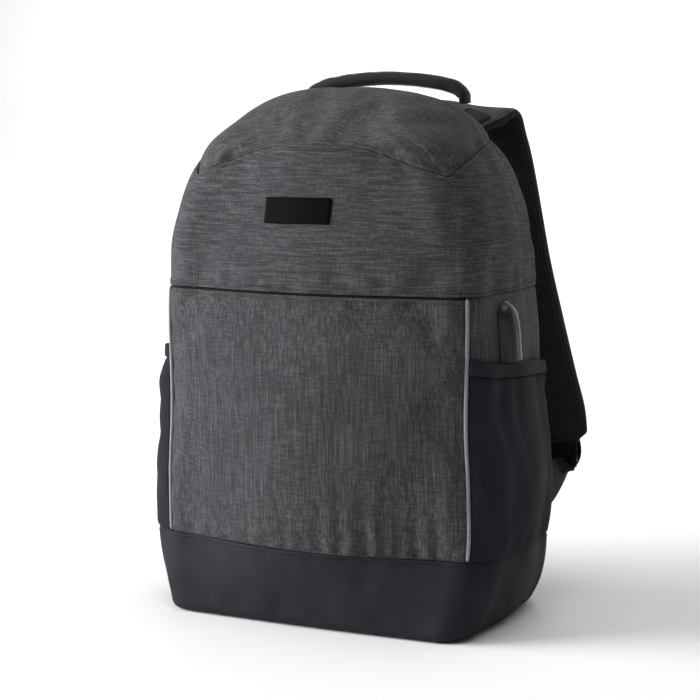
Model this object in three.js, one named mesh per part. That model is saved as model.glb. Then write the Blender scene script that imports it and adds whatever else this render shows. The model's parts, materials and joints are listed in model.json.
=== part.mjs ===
// A laptop backpack that stands on its base, in millimetres. +Z is up, the front pocket faces -Y, the shoulder
// straps hang at +Y, and the origin is the middle of the base. The bag is sewn from shells that follow one body
// surface: a tub, two rows of panels, a dome cap and a padded back, with pockets and trim set on them.

import * as THREE from 'three';
import { mergeVertices } from 'three/addons/utils/BufferGeometryUtils.js';

// Body
const BODY_HEIGHT = 453;
const BODY_WIDTH = 296;
const BODY_DEPTH = 182;
const SHOULDER_HEIGHT = 284;
const KNEE_HEIGHT = 404;
const SIDE_BOW = 4;
const DOME_ROUNDNESS = 2.7;
const DOME_FRONT_ROUNDNESS = 1.25;
const DOME_BACK_ROUNDNESS = 2.5;

// Seams and cloth
const SEAM_GAP = 0.3;
const ROW_MARGIN = 3;
const CLOTH = 2;
const BASE_WALL = 3;
const BASE_EDGE_RADIUS = 7;
const BAND_HEIGHT = 66;
const POCKET_SEAM_HEIGHT = 284;
const REAR_SEAM_HEIGHT = 410;
const BACK_PADDING = 8;

// Zips
const ZIP_TAPE_WIDTH = 7;
const ZIP_THICKNESS = 1.2;
const ZIP_CLEARANCE = 0.9;
const ZIP_SEAM_FRONT = 0.8;
const ZIP_SEAM_SIDE = 2;
const POCKET_ZIP_WIDTH = 3;
const POCKET_ZIP_INSET = 0.8;

// Front pocket and piping
const POCKET_CLOTH = 1.5;
const POCKET_HOLLOW = 14;
const PIPING_RADIUS = 1.6;
const PIPING_GROOVE = 2.6;

// Side pockets
const SIDE_POCKET_CLOTH = 1.5;
const SIDE_POCKET_TOP = 224;
const SIDE_POCKET_FALL = 19;
const SIDE_POCKET_BULGE = 10;
const HEM_HEIGHT = 12;
const HEM_THICKNESS = 2.4;

// Label and cable port
const LABEL_WIDTH = 62;
const LABEL_HEIGHT = 22;
const LABEL_THICKNESS = 1.2;
const LABEL_CENTRE_X = -7;
const LABEL_CENTRE_HEIGHT = 351;
const PORT_WIDTH = 27;
const PORT_HEIGHT = 50;
const PORT_DEPTH = 12;
const PORT_EDGE = 2.5;
const PORT_STAND_OFF = 0.95;

// Shoulder straps
const STRAP_WIDTH = 70;
const STRAP_THICKNESS = 12;
const STRAP_BOW = 50;
const STRAP_COVER = 1.4;
const STRAP_ROOT_CLEARANCE = 0.4;

// Ladder-locks, webbing and tabs
const LOCK_WIDTH = 33;
const LOCK_HEIGHT = 26;
const LOCK_THICKNESS = 4;
const LOCK_BAR = 3.2;
const WEBBING_WIDTH = 25;
const WEBBING_THICKNESS = 1.5;
const WEBBING_CLEARANCE = 0.8;
const WEBBING_TAIL = 14;
const WEBBING_SLACK = 1;
const WEBBING_TAIL_STAND = 5;
const WEBBING_TAIL_FLARE = 2;
const TAB_HEIGHT = 46;
const TAB_BOTTOM = 78;
const TAB_LENGTH = 24;
const TAB_THICKNESS = 3;
const TAB_CORNER_SHIFT = 0.12;

// Grab handle
const HANDLE_HALF_SPAN = 76;
const HANDLE_RISE = 16;
const HANDLE_Y = 78;
const HANDLE_WIDTH = 22;
const HANDLE_THICKNESS = 12;
const ANCHOR_LENGTH = 22;
const ANCHOR_FRONT_REACH = 7;
const ANCHOR_THICKNESS = 2;

// Places round the body's outline, counted from the middle of the front: 1 to 2 is the front corner, 2 to 3 the
// side, 3 to 4 the rear corner and 5 the middle of the back. The left side has the same numbers below zero.
const FRONT_CORNER = 1.5;
const REAR_CORNER = 3.5;
const FULL_TURN = 10;
const PORT_PLACE = 2.26;

// The body's outline by height. Heights are shares of BODY_HEIGHT, widths and radii of BODY_WIDTH, and the
// front, its bow and the back of BODY_DEPTH.
const BODY_SECTIONS = [
  { height: 0.0, halfWidth: 0.485, front: -0.49, bow: 0.01, back: 0.54, frontRadius: 0.1, backRadius: 0.12 },
  { height: 0.06, halfWidth: 0.522, front: -0.5, bow: 0.05, back: 0.555, frontRadius: 0.115, backRadius: 0.12 },
  { height: 0.146, halfWidth: 0.542, front: -0.51, bow: 0.12, back: 0.54, frontRadius: 0.12, backRadius: 0.12 },
  { height: 0.265, halfWidth: 0.534, front: -0.527, bow: 0.13, back: 0.54, frontRadius: 0.12, backRadius: 0.118 },
  { height: 0.397, halfWidth: 0.516, front: -0.533, bow: 0.12, back: 0.56, frontRadius: 0.128, backRadius: 0.111 },
  { height: 0.627, halfWidth: 0.5, front: -0.505, bow: 0.09, back: 0.495, frontRadius: 0.101, backRadius: 0.095 },
  { height: 0.775, halfWidth: 0.47, front: -0.44, bow: 0.066, back: 0.429, frontRadius: 0.108, backRadius: 0.095 },
  { height: 0.892, halfWidth: 0.4, front: -0.385, bow: 0.044, back: 0.379, frontRadius: 0.122, backRadius: 0.108 },
];

// The seam of the dome cap, as shares of BODY_HEIGHT: level at the front and falling to the front corners, then
// rising again along the sides to the back.
const CAP_SEAM_FRONT = [
  { place: 0.0, height: 0.896 },
  { place: 0.4, height: 0.895 },
  { place: 0.7, height: 0.884 },
  { place: 1.0, height: 0.863 },
  { place: 1.5, height: 0.833 },
];
const CAP_SEAM_SIDE = [
  { place: 1.5, height: 0.833 },
  { place: 2.0, height: 0.852 },
  { place: 2.5, height: 0.871 },
  { place: 3.0, height: 0.888 },
  { place: 3.5, height: 0.902 },
];

// Where the front corner's piping runs round the outline, by its share of the height between its ends.
const PIPING_PLACES = [
  { height: 0.0, place: 1.3 },
  { height: 0.25, place: 1.36 },
  { height: 0.5, place: 1.43 },
  { height: 1.0, place: 1.5 },
];

// How far a side pocket bulges, as a share of SIDE_POCKET_BULGE, by its share of the way up to the hem.
const SIDE_POCKET_PROFILE = [
  { height: 0.0, bulge: 0.05 },
  { height: 0.1, bulge: 0.6 },
  { height: 0.26, bulge: 1.0 },
  { height: 0.45, bulge: 0.9 },
  { height: 0.7, bulge: 0.55 },
  { height: 1.0, bulge: 0.28 },
];

// The right strap's middle line: across in shares of BODY_WIDTH, behind the back panel in shares of STRAP_BOW,
// height in shares of BODY_HEIGHT, width and thickness of the strap's own, and lean, the drop of its outer edge
// for each millimetre across.
const STRAP_ROUTE = [
  { across: 0.193, behind: -0.16, height: 0.929, width: 0.94, thickness: 0.42, lean: 0.3 },
  { across: 0.216, behind: 0.22, height: 0.943, width: 0.97, thickness: 0.8, lean: 0.25 },
  { across: 0.243, behind: 0.62, height: 0.951, width: 1.0, thickness: 1.0, lean: 0.17 },
  { across: 0.255, behind: 0.86, height: 0.951, width: 1.0, thickness: 1.0, lean: 0.12 },
  { across: 0.264, behind: 1.02, height: 0.938, width: 1.0, thickness: 1.0, lean: 0.06 },
  { across: 0.272, behind: 1.08, height: 0.909, width: 1.0, thickness: 1.0, lean: 0.0 },
  { across: 0.288, behind: 1.12, height: 0.857, width: 1.0, thickness: 1.0, lean: 0.0 },
  { across: 0.315, behind: 1.02, height: 0.762, width: 1.0, thickness: 1.0, lean: 0.0 },
  { across: 0.349, behind: 0.89, height: 0.651, width: 0.97, thickness: 1.0, lean: 0.0 },
  { across: 0.388, behind: 0.86, height: 0.541, width: 0.94, thickness: 1.0, lean: 0.0 },
  { across: 0.426, behind: 0.92, height: 0.435, width: 0.89, thickness: 1.0, lean: 0.0 },
  { across: 0.456, behind: 1.05, height: 0.36, width: 0.8, thickness: 0.9, lean: 0.0 },
  { across: 0.47, behind: 1.1, height: 0.305, width: 0.71, thickness: 0.7, lean: 0.0 },
];

// Shares of a padded strip's half thickness by place across it.
const PADDED_EDGE = [
  { across: -1.0, swell: 0.35 },
  { across: -0.86, swell: 0.78 },
  { across: -0.5, swell: 1.0 },
  { across: 0.0, swell: 1.0 },
  { across: 0.5, swell: 1.0 },
  { across: 0.86, swell: 0.78 },
  { across: 1.0, swell: 0.35 },
];

// The handle's middle line over half its span: across in shares of HANDLE_HALF_SPAN, fall below the top in
// shares of the handle's whole rise, thickness in shares of its own.
const HANDLE_ROUTE = [
  { across: 0.0, fall: 0.0, thickness: 1.0 },
  { across: 0.35, fall: 0.06, thickness: 1.0 },
  { across: 0.65, fall: 0.19, thickness: 1.0 },
  { across: 0.87, fall: 0.38, thickness: 0.95 },
  { across: 0.98, fall: 0.66, thickness: 0.8 },
  { across: 1.0, fall: 1.0, thickness: 0.55 },
];

const COLOURS = {
  melange: 0x55575b,
  polyester: 0x2e2e36,
  stretch: 0x202127,
  mesh: 0x17181b,
  piping: 0x8d929c,
  label: 0x100c0c,
  zip: 0x141416,
  rubber: 0x1d1e22,
  plastic: 0x151517,
};

function fabric(colour, roughness = 0.9) {
  return new THREE.MeshStandardMaterial({ color: colour, roughness, metalness: 0 });
}

function lerp(from, to, share) {
  return from + (to - from) * share;
}

function smooth(value) {
  const share = Math.min(1, Math.max(0, value));
  return share * share * (3 - 2 * share);
}

// Reads one column of a table at any place, as a smooth curve through its rows.
function read(table, key, column, place) {
  const last = table.length - 1;
  if (place <= table[0][key]) return table[0][column];
  if (place >= table[last][key]) return table[last][column];
  let row = 0;
  while (table[row + 1][key] < place) row += 1;
  const before = table[Math.max(0, row - 1)];
  const from = table[row];
  const to = table[row + 1];
  const after = table[Math.min(last, row + 2)];
  const step = to[key] - from[key];
  const share = (place - from[key]) / step;
  const slopeFrom = ((to[column] - before[column]) / (to[key] - before[key])) * step;
  const slopeTo = ((after[column] - from[column]) / (after[key] - from[key])) * step;
  const squared = share * share;
  const cubed = squared * share;
  return (2 * cubed - 3 * squared + 1) * from[column] + (cubed - 2 * squared + share) * slopeFrom
    + (3 * squared - 2 * cubed) * to[column] + (cubed - squared) * slopeTo;
}

// Evenly spaced values from one number to another.
function steps(from, to, count) {
  return Array.from({ length: count + 1 }, (_, index) => lerp(from, to, index / count));
}

// The body's horizontal outline at a height: half width, corner lines and radii.
function outline(z) {
  const share = z / BODY_HEIGHT;
  const width = (column) => read(BODY_SECTIONS, 'height', column, share) * BODY_WIDTH;
  const depth = (column) => read(BODY_SECTIONS, 'height', column, share) * BODY_DEPTH;
  const shoulder = Math.min(1, Math.max(0, (z - SHOULDER_HEIGHT) / (BODY_HEIGHT - SHOULDER_HEIGHT)));
  const knee = Math.min(1, Math.max(0, (z - KNEE_HEIGHT) / (BODY_HEIGHT - KNEE_HEIGHT)));
  const falling = (rise, roundness) => Math.pow(1 - Math.pow(rise, roundness), 1 / roundness);
  const half = shoulder > 0 ? (BODY_WIDTH / 2) * falling(shoulder, DOME_ROUNDNESS) : width('halfWidth');
  const bow = depth('bow') * (1 - knee);
  const front = (depth('front') + depth('bow')) * falling(knee, DOME_FRONT_ROUNDNESS);
  const back = depth('back') * falling(knee, DOME_BACK_ROUNDNESS);
  const largest = Math.min(0.72 * half, 0.46 * (back - front));
  const growth = 1 + 0.5 * shoulder;
  return {
    half,
    bow,
    front,
    back,
    frontRadius: Math.min(width('frontRadius') * growth, largest),
    backRadius: Math.min(width('backRadius') * growth, largest),
  };
}

// A point of the body's outer surface at a height and a place round the outline, moved in by inset.
function bodyPoint(z, place, inset = 0) {
  const wrapped = place > FULL_TURN / 2 ? place - FULL_TURN : place;
  const side = wrapped < 0 ? -1 : 1;
  const along = Math.abs(wrapped);
  const section = outline(z);
  const half = section.half - inset;
  const front = section.front + inset;
  const back = section.back - inset;
  const frontRadius = Math.max(0, section.frontRadius - inset);
  const backRadius = Math.max(0, section.backRadius - inset);
  const quarter = Math.PI / 2;
  if (along <= 1) {
    const x = along * (half - frontRadius);
    return new THREE.Vector3(side * x, front - section.bow * Math.pow(1 - along * along, 1.5), z);
  }
  if (along <= 2) {
    const angle = (along - 1) * quarter;
    const x = half - frontRadius + frontRadius * Math.sin(angle);
    return new THREE.Vector3(side * x, front + frontRadius - frontRadius * Math.cos(angle), z);
  }
  if (along <= 3) {
    const share = along - 2;
    const x = half + SIDE_BOW * (half / (BODY_WIDTH / 2)) * Math.pow(Math.sin(Math.PI * share), 2);
    return new THREE.Vector3(side * x, lerp(front + frontRadius, back - backRadius, share), z);
  }
  if (along <= 4) {
    const angle = (along - 3) * quarter;
    const x = half - backRadius + backRadius * Math.cos(angle);
    return new THREE.Vector3(side * x, back - backRadius + backRadius * Math.sin(angle), z);
  }
  return new THREE.Vector3(side * (half - backRadius) * (5 - along), back, z);
}

// The outward normal of a surface given as point(place, rise), by small differences.
function normalOf(point, place, rise) {
  const small = 0.002;
  const along = point(place + small, rise).sub(point(place - small, rise));
  const up = point(place, Math.min(1, rise + small)).sub(point(place, Math.max(0, rise - small)));
  return along.cross(up).normalize();
}

function bodyNormal(z, place) {
  const reach = 1;
  const surface = (at, rise) => bodyPoint(z + (rise - 0.5) * reach, at);
  return normalOf(surface, place, 0.5);
}

// A point at a distance from the body's surface, outward if the distance is positive.
function offBody(z, place, distance) {
  return bodyPoint(z, place).addScaledVector(bodyNormal(z, place), distance);
}

// A place moved by some millimetres round a front or rear corner.
function movedPlace(z, place, millimetres) {
  const section = outline(z);
  const radius = Math.abs(place) < 3 ? section.frontRadius : section.backRadius;
  return place + (Math.sign(place) * millimetres) / (radius * (Math.PI / 2));
}

function capSeamHeight(place) {
  const along = Math.abs(place > FULL_TURN / 2 ? place - FULL_TURN : place);
  if (along < FRONT_CORNER) return BODY_HEIGHT * read(CAP_SEAM_FRONT, 'place', 'height', along);
  const rear = REAR_SEAM_HEIGHT / BODY_HEIGHT;
  const side = [...CAP_SEAM_SIDE, { place: 4, height: rear }, { place: 5, height: rear }];
  return BODY_HEIGHT * read(side, 'place', 'height', along);
}

// The place of the piping at a height.
function pipingPlace(z) {
  const up = (z - BAND_HEIGHT) / (POCKET_SEAM_HEIGHT - BAND_HEIGHT);
  return read(PIPING_PLACES, 'height', 'place', up);
}

// Half the open seam under which the main zip shows: narrow across the front, wider over the sides.
function zipHalfSeam(place) {
  return lerp(ZIP_SEAM_FRONT, ZIP_SEAM_SIDE, smooth(Math.abs(place) - 1)) / 2;
}

// A closed solid between two grids of points, rows by columns. A row with one point is a pole. Columns run
// anticlockwise seen from outside to the rows, and a closed grid joins its last column to its first.
function slab(outer, inner, closed = false) {
  const positions = [];
  const indices = [];
  const number = (grid) => grid.map((row) => row.map((point) => {
    positions.push(point.x, point.y, point.z);
    return positions.length / 3 - 1;
  }));
  const top = number(outer);
  const bottom = number(inner);
  const quad = (a, b, c, d) => indices.push(a, b, c, a, c, d);
  const columns = Math.max(...top.map((row) => row.length));
  const spans = closed ? columns : columns - 1;
  const next = (column) => (column + 1) % columns;
  const lastRow = top.length - 1;
  for (let row = 0; row < lastRow; row += 1) {
    for (let column = 0; column < spans; column += 1) {
      const side = next(column);
      if (top[row].length === 1) {
        indices.push(top[row][0], top[row + 1][side], top[row + 1][column]);
        indices.push(bottom[row][0], bottom[row + 1][column], bottom[row + 1][side]);
      } else if (top[row + 1].length === 1) {
        indices.push(top[row][column], top[row][side], top[row + 1][0]);
        indices.push(bottom[row][side], bottom[row][column], bottom[row + 1][0]);
      } else {
        quad(top[row][column], top[row][side], top[row + 1][side], top[row + 1][column]);
        quad(bottom[row][column], bottom[row + 1][column], bottom[row + 1][side], bottom[row][side]);
      }
    }
  }
  for (let column = 0; column < spans; column += 1) {
    const side = next(column);
    if (top[0].length > 1) quad(top[0][column], bottom[0][column], bottom[0][side], top[0][side]);
    if (top[lastRow].length > 1) {
      quad(top[lastRow][column], top[lastRow][side], bottom[lastRow][side], bottom[lastRow][column]);
    }
  }
  if (!closed) {
    const end = columns - 1;
    for (let row = 0; row < lastRow; row += 1) {
      quad(top[row][0], top[row + 1][0], bottom[row + 1][0], bottom[row][0]);
      quad(top[row][end], bottom[row][end], bottom[row + 1][end], top[row + 1][end]);
    }
  }
  const geometry = new THREE.BufferGeometry();
  geometry.setAttribute('position', new THREE.Float32BufferAttribute(positions, 3));
  geometry.setIndex(indices);
  geometry.computeVertexNormals();
  return geometry;
}

// The two faces of a shell on the surface point(place, rise), its wall inward along the surface's normal.
function shellGrids(point, places, rises, wall) {
  const outer = rises.map((rise) => places.map((place) => point(place, rise)));
  const inner = rises.map((rise, row) => places.map((place, column) => {
    return outer[row][column].clone().addScaledVector(normalOf(point, place, rise), -wall);
  }));
  return [outer, inner];
}

// Places from one side of the bag to the same on the other.
function bothSides(half) {
  return [...half.slice(1).map((place) => -place).reverse(), ...half];
}

// Heights between the band and the pocket seam that neighbouring panels share, so that their facets match.
function panelRows(from, to) {
  const levels = steps(BAND_HEIGHT, POCKET_SEAM_HEIGHT, 8);
  return [from, ...levels.filter((z) => z > from + ROW_MARGIN && z < to - ROW_MARGIN), to];
}

// Heights between the pocket seam and the cap's seam at a place.
function upperRows(place, from, gap) {
  return steps(from, capSeamHeight(place) - gap, 6);
}

// The same solid on the other side of the bag.
function mirrored(geometry) {
  const bare = geometry.clone();
  bare.deleteAttribute('normal');
  bare.deleteAttribute('uv');
  const copy = mergeVertices(bare);
  copy.scale(-1, 1, 1);
  const index = copy.getIndex();
  for (let corner = 0; corner < index.count; corner += 3) {
    const first = index.getX(corner);
    index.setX(corner, index.getX(corner + 1));
    index.setX(corner + 1, first);
  }
  copy.computeVertexNormals();
  return copy;
}

// Places round the whole outline, in steps that follow its corners.
function ringPlaces() {
  const half = [
    ...steps(0, 1, 4),
    ...steps(1, 2, 4).slice(1),
    ...steps(2, 3, 4).slice(1),
    ...steps(3, 4, 4).slice(1),
    ...steps(4, 5, 2).slice(1),
  ];
  const left = half.slice(1, -1).map((place) => -place).reverse();
  return [...left, ...half];
}

function baseBand() {
  const flat = 0.3;
  const bend = 0.5;
  const place = (at, rise) => {
    if (rise < flat) {
      return bodyPoint(0, at, BASE_EDGE_RADIUS).multiplyScalar(rise / flat);
    }
    if (rise < bend) {
      const angle = ((rise - flat) / (bend - flat)) * (Math.PI / 2);
      const height = BASE_EDGE_RADIUS * (1 - Math.cos(angle));
      return bodyPoint(height, at, BASE_EDGE_RADIUS * (1 - Math.sin(angle)));
    }
    return bodyPoint(lerp(BASE_EDGE_RADIUS, BAND_HEIGHT - SEAM_GAP / 2, (rise - bend) / (1 - bend)), at);
  };
  const places = ringPlaces();
  const rises = [flat / 2, flat, lerp(flat, bend, 1 / 3), lerp(flat, bend, 2 / 3), bend, 0.67, 0.84, 1];
  const [outer, inner] = shellGrids(place, places, rises, BASE_WALL);
  outer.unshift([new THREE.Vector3(0, 0, 0)]);
  inner.unshift([new THREE.Vector3(0, 0, BASE_WALL)]);
  return slab(outer, inner, true);
}

// How deep the layer behind the front pocket lies under the pocket's face: a groove under the piping and the
// pocket's edges, and the pocket's hollow between them.
function pocketRecess(z, place) {
  const along = Math.abs(place);
  const seam = pipingPlace(z);
  const edge = movedPlace(z, seam, 3 * PIPING_RADIUS);
  const groove = PIPING_GROOVE * smooth((edge - along) / (edge - seam));
  const across = smooth((seam - 0.1 - along) / 0.5);
  const up = smooth((z - BAND_HEIGHT) / 40) * smooth((POCKET_SEAM_HEIGHT - z) / 30);
  return groove + (POCKET_HOLLOW - PIPING_GROOVE) * across * up;
}

// Places of the panels that run round the front and sides, from one rear corner to the other.
function wrapPlaces(z) {
  const seam = pipingPlace(z);
  const groove = movedPlace(z, seam, 3 * PIPING_RADIUS);
  const rear = movedPlace(z, REAR_CORNER, -SEAM_GAP / 2);
  const front = [0, 0.25, 0.5, 0.75, 1, lerp(1, seam, 0.5), seam, groove];
  return bothSides([...front, 1.75, 2, 2.25, 2.5, 2.75, 3, 3.25, rear]);
}

function lowerPanel() {
  const heights = panelRows(BAND_HEIGHT + SEAM_GAP / 2, POCKET_SEAM_HEIGHT - SEAM_GAP / 2);
  const grid = (depth) => heights.map((z) => {
    return wrapPlaces(z).map((place) => offBody(z, place, -pocketRecess(z, place) - depth));
  });
  return slab(grid(0), grid(CLOTH));
}

function upperPanel() {
  const rows = wrapPlaces(POCKET_SEAM_HEIGHT).map((place) => {
    const heights = upperRows(place, POCKET_SEAM_HEIGHT + SEAM_GAP / 2, zipHalfSeam(place));
    return { place, heights };
  });
  const grid = (depth) => steps(0, 6, 6).map((row) => {
    return rows.map(({ place, heights }) => offBody(heights[row], place, -depth));
  });
  return slab(grid(0), grid(CLOTH));
}

function topGusset() {
  const point = (place, rise) => {
    const along = Math.abs(place > FULL_TURN / 2 ? place - FULL_TURN : place);
    const gap = along < REAR_CORNER ? zipHalfSeam(place) : 1.5 * SEAM_GAP;
    const start = capSeamHeight(place) + gap;
    return bodyPoint(lerp(start, BODY_HEIGHT, Math.sin(rise * (Math.PI / 2))), place);
  };
  const places = ringPlaces();
  const rises = [0, 0.07, 0.15, 0.27, 0.4, 0.54, 0.68, 0.82, 0.93];
  const [outer, inner] = shellGrids(point, places, rises, CLOTH);
  outer.push([new THREE.Vector3(0, 0, BODY_HEIGHT)]);
  inner.push([new THREE.Vector3(0, 0, BODY_HEIGHT - CLOTH)]);
  return slab(outer, inner, true);
}

function backPanel() {
  const start = movedPlace(POCKET_SEAM_HEIGHT, REAR_CORNER, SEAM_GAP / 2);
  const columns = [start, 3.75, 4, 4.5, 5, 5.5, 6, 6.25, FULL_TURN - start].map((place) => {
    const lower = panelRows(BAND_HEIGHT + SEAM_GAP / 2, POCKET_SEAM_HEIGHT);
    const upper = upperRows(place, POCKET_SEAM_HEIGHT, SEAM_GAP / 2).slice(1);
    return { place, heights: [...lower, ...upper] };
  });
  const grid = (depth) => columns[0].heights.map((_, row) => {
    return columns.map(({ place, heights }) => offBody(heights[row], place, -depth));
  });
  return slab(grid(0), grid(BACK_PADDING));
}

function mainZip() {
  const places = bothSides([...steps(0, 3.25, 13), REAR_CORNER - 0.1]);
  const top = CLOTH + ZIP_CLEARANCE;
  const grid = (depth) => [-0.5, 0, 0.5].map((share) => places.map((place) => {
    return offBody(capSeamHeight(place) + share * ZIP_TAPE_WIDTH, place, -depth);
  }));
  return slab(grid(top), grid(top + ZIP_THICKNESS));
}

// Places between the two pipings, clear of them.
function pocketPlaces(z) {
  const seam = pipingPlace(z);
  const edge = movedPlace(z, seam, -PIPING_RADIUS - SEAM_GAP);
  return bothSides([0, 0.25, 0.5, 0.75, 1, lerp(1, seam, 0.5), edge]);
}

function frontPocket() {
  const heights = panelRows(BAND_HEIGHT + SEAM_GAP / 2, POCKET_SEAM_HEIGHT - POCKET_ZIP_WIDTH);
  const grid = (depth) => heights.map((z) => pocketPlaces(z).map((place) => offBody(z, place, -depth)));
  return slab(grid(0), grid(POCKET_CLOTH));
}

function pocketZip() {
  const bottom = POCKET_SEAM_HEIGHT - POCKET_ZIP_WIDTH + SEAM_GAP;
  const heights = [bottom, POCKET_SEAM_HEIGHT - 2 * SEAM_GAP];
  const grid = (depth) => heights.map((z) => pocketPlaces(z).map((place) => offBody(z, place, -depth)));
  return slab(grid(POCKET_ZIP_INSET), grid(POCKET_ZIP_INSET + ZIP_THICKNESS));
}

// Piping: a round cord in the groove between the front pocket and the side.
function piping() {
  const bottom = BAND_HEIGHT + SEAM_GAP / 2 + PIPING_RADIUS / 2;
  const top = POCKET_SEAM_HEIGHT - SEAM_GAP / 2 - PIPING_RADIUS / 2;
  const points = panelRows(bottom, top).map((z) => offBody(z, pipingPlace(z), 0));
  const section = new THREE.Shape();
  section.absarc(0, 0, PIPING_RADIUS, 0, 2 * Math.PI);
  const path = new THREE.CatmullRomCurve3(points);
  return new THREE.ExtrudeGeometry(section, { extrudePath: path, steps: 10, curveSegments: 6 });
}

function labelPatch() {
  const grid = (distance) => steps(-0.5, 0.5, 2).map((up) => {
    const z = LABEL_CENTRE_HEIGHT + up * LABEL_HEIGHT;
    const section = outline(z);
    const width = section.half - section.frontRadius;
    return steps(-0.5, 0.5, 6).map((across) => offBody(z, (LABEL_CENTRE_X + across * LABEL_WIDTH) / width, distance));
  });
  return slab(grid(SEAM_GAP + LABEL_THICKNESS), grid(SEAM_GAP));
}

// How far round a side pocket a place lies, from its front edge to its rear edge.
function pocketShare(z, place) {
  const front = pipingPlace(z);
  return (place - front) / (REAR_CORNER - front);
}

// The height of a side pocket's mouth, which falls towards the rear.
function pocketMouth(place) {
  return SIDE_POCKET_TOP + SIDE_POCKET_FALL * (0.5 - pocketShare(SIDE_POCKET_TOP, place));
}

// A side pocket's inner face stands off the body by this much.
function sidePocketStandOff(z, place) {
  const up = (z - BAND_HEIGHT) / (pocketMouth(place) - BAND_HEIGHT);
  const across = pocketShare(z, place);
  const round = Math.pow(Math.sin(Math.PI * Math.min(1, Math.max(0, across))), 0.6);
  return SEAM_GAP + SIDE_POCKET_BULGE * read(SIDE_POCKET_PROFILE, 'height', 'bulge', up) * round;
}

function sidePocketGrids(rows, wall) {
  const places = (z) => {
    const front = movedPlace(z, pipingPlace(z), PIPING_RADIUS + SEAM_GAP);
    const rear = movedPlace(z, REAR_CORNER, -SEAM_GAP / 2);
    const groove = movedPlace(z, pipingPlace(z), 3 * PIPING_RADIUS);
    return [front, groove, 1.75, 2, 2.25, 2.5, 2.75, 3, 3.25, 3.4, rear];
  };
  const grid = (thickness) => rows.map((height) => places(height(2.5)).map((place) => {
    const z = height(place);
    return offBody(z, place, sidePocketStandOff(z, place) + thickness);
  }));
  return [grid(wall), grid(0)];
}

function sidePocket() {
  const level = SIDE_POCKET_TOP - SIDE_POCKET_FALL - HEM_HEIGHT;
  const rows = panelRows(BAND_HEIGHT + SEAM_GAP / 2, level).slice(0, -1).map((z) => () => z);
  rows.push((place) => pocketMouth(place) - HEM_HEIGHT - SEAM_GAP);
  return slab(...sidePocketGrids(rows, SIDE_POCKET_CLOTH));
}

function pocketHem() {
  return slab(...sidePocketGrids([(place) => pocketMouth(place) - HEM_HEIGHT, pocketMouth], HEM_THICKNESS));
}

// The cable port's hood stands on the side panel, just above the pocket's hem.
function usbCover() {
  const bottom = pocketMouth(PORT_PLACE - 0.1) + 3 * SEAM_GAP;
  const foot = bodyPoint(bottom, PORT_PLACE);
  const head = bodyPoint(bottom + PORT_HEIGHT, PORT_PLACE);
  const up = head.clone().sub(foot).normalize();
  const out = bodyNormal(bottom + PORT_HEIGHT / 2, PORT_PLACE);
  const along = up.clone().cross(out).normalize();
  const half = PORT_WIDTH / 2;
  const corner = PORT_EDGE + 0.5;
  const shape = new THREE.Shape();
  shape.moveTo(-half + corner, 0);
  shape.lineTo(half - corner, 0);
  shape.absarc(half - corner, corner, corner, -Math.PI / 2, 0);
  shape.absarc(0, PORT_HEIGHT - half, half, 0, Math.PI);
  shape.absarc(-half + corner, corner, corner, Math.PI, 1.5 * Math.PI);
  const geometry = new THREE.ExtrudeGeometry(shape, {
    depth: PORT_DEPTH - 2 * PORT_EDGE,
    bevelEnabled: true,
    bevelThickness: PORT_EDGE,
    bevelSize: PORT_EDGE,
    bevelOffset: -PORT_EDGE,
    bevelSegments: 1,
    curveSegments: 4,
  });
  geometry.translate(0, 0, PORT_EDGE + PORT_STAND_OFF);
  const frame = new THREE.Matrix4().makeBasis(along, up, out).setPosition(foot);
  return geometry.applyMatrix4(frame);
}

// The right strap's frame at a share of its length: middle point, direction, width direction and outer normal.
function strapCurve() {
  const points = STRAP_ROUTE.map((row) => {
    const z = row.height * BODY_HEIGHT;
    const y = outline(Math.min(z, KNEE_HEIGHT)).back + row.behind * STRAP_BOW;
    return new THREE.Vector3(row.across * BODY_WIDTH, y, z);
  });
  return new THREE.CatmullRomCurve3(points);
}

const STRAP_LINE = strapCurve();
const STRAP_STATIONS = 24;

function strapFrame(share) {
  const numbered = STRAP_ROUTE.map((row, index) => ({ ...row, share: index / (STRAP_ROUTE.length - 1) }));
  const value = (column) => read(numbered, 'share', column, share);
  const middle = STRAP_LINE.getPoint(share);
  const direction = STRAP_LINE.getTangent(share);
  const width = new THREE.Vector3(1, 0, -value('lean'));
  width.addScaledVector(direction, -width.dot(direction)).normalize();
  const out = width.clone().cross(direction).normalize();
  return {
    middle,
    direction,
    width,
    out,
    halfWidth: (value('width') * STRAP_WIDTH) / 2,
    halfThickness: (value('thickness') * STRAP_THICKNESS) / 2,
  };
}

// A point of a strap at a place across it, a given distance beyond its padded face on the outer or inner side.
function strapPoint(share, across, side, beyond = 0) {
  const frame = strapFrame(share);
  const swell = frame.halfThickness * read(PADDED_EDGE, 'across', 'swell', across);
  return frame.middle.clone()
    .addScaledVector(frame.width, across * frame.halfWidth)
    .addScaledVector(frame.out, side * (swell + beyond));
}

// The back of the dome behind a point, where the strap is sewn on.
function domeBack(x, z) {
  const section = outline(z);
  const beyond = Math.min(section.backRadius, Math.max(0, Math.abs(x) - (section.half - section.backRadius)));
  const arc = Math.sqrt(section.backRadius ** 2 - beyond ** 2);
  return section.back - section.backRadius + arc;
}

function strapGrid(side, beyond) {
  return steps(0, 1, STRAP_STATIONS).map((share, station) => PADDED_EDGE.map(({ across }) => {
    const point = strapPoint(share, across, side, beyond);
    if (station === 0) point.y = domeBack(point.x, point.z) + STRAP_ROOT_CLEARANCE;
    return point;
  }));
}

function strapPad() {
  return slab(strapGrid(1, 0), strapGrid(-1, 0));
}

function strapCover() {
  return slab(strapGrid(1, SEAM_GAP + STRAP_COVER), strapGrid(1, SEAM_GAP));
}

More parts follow.
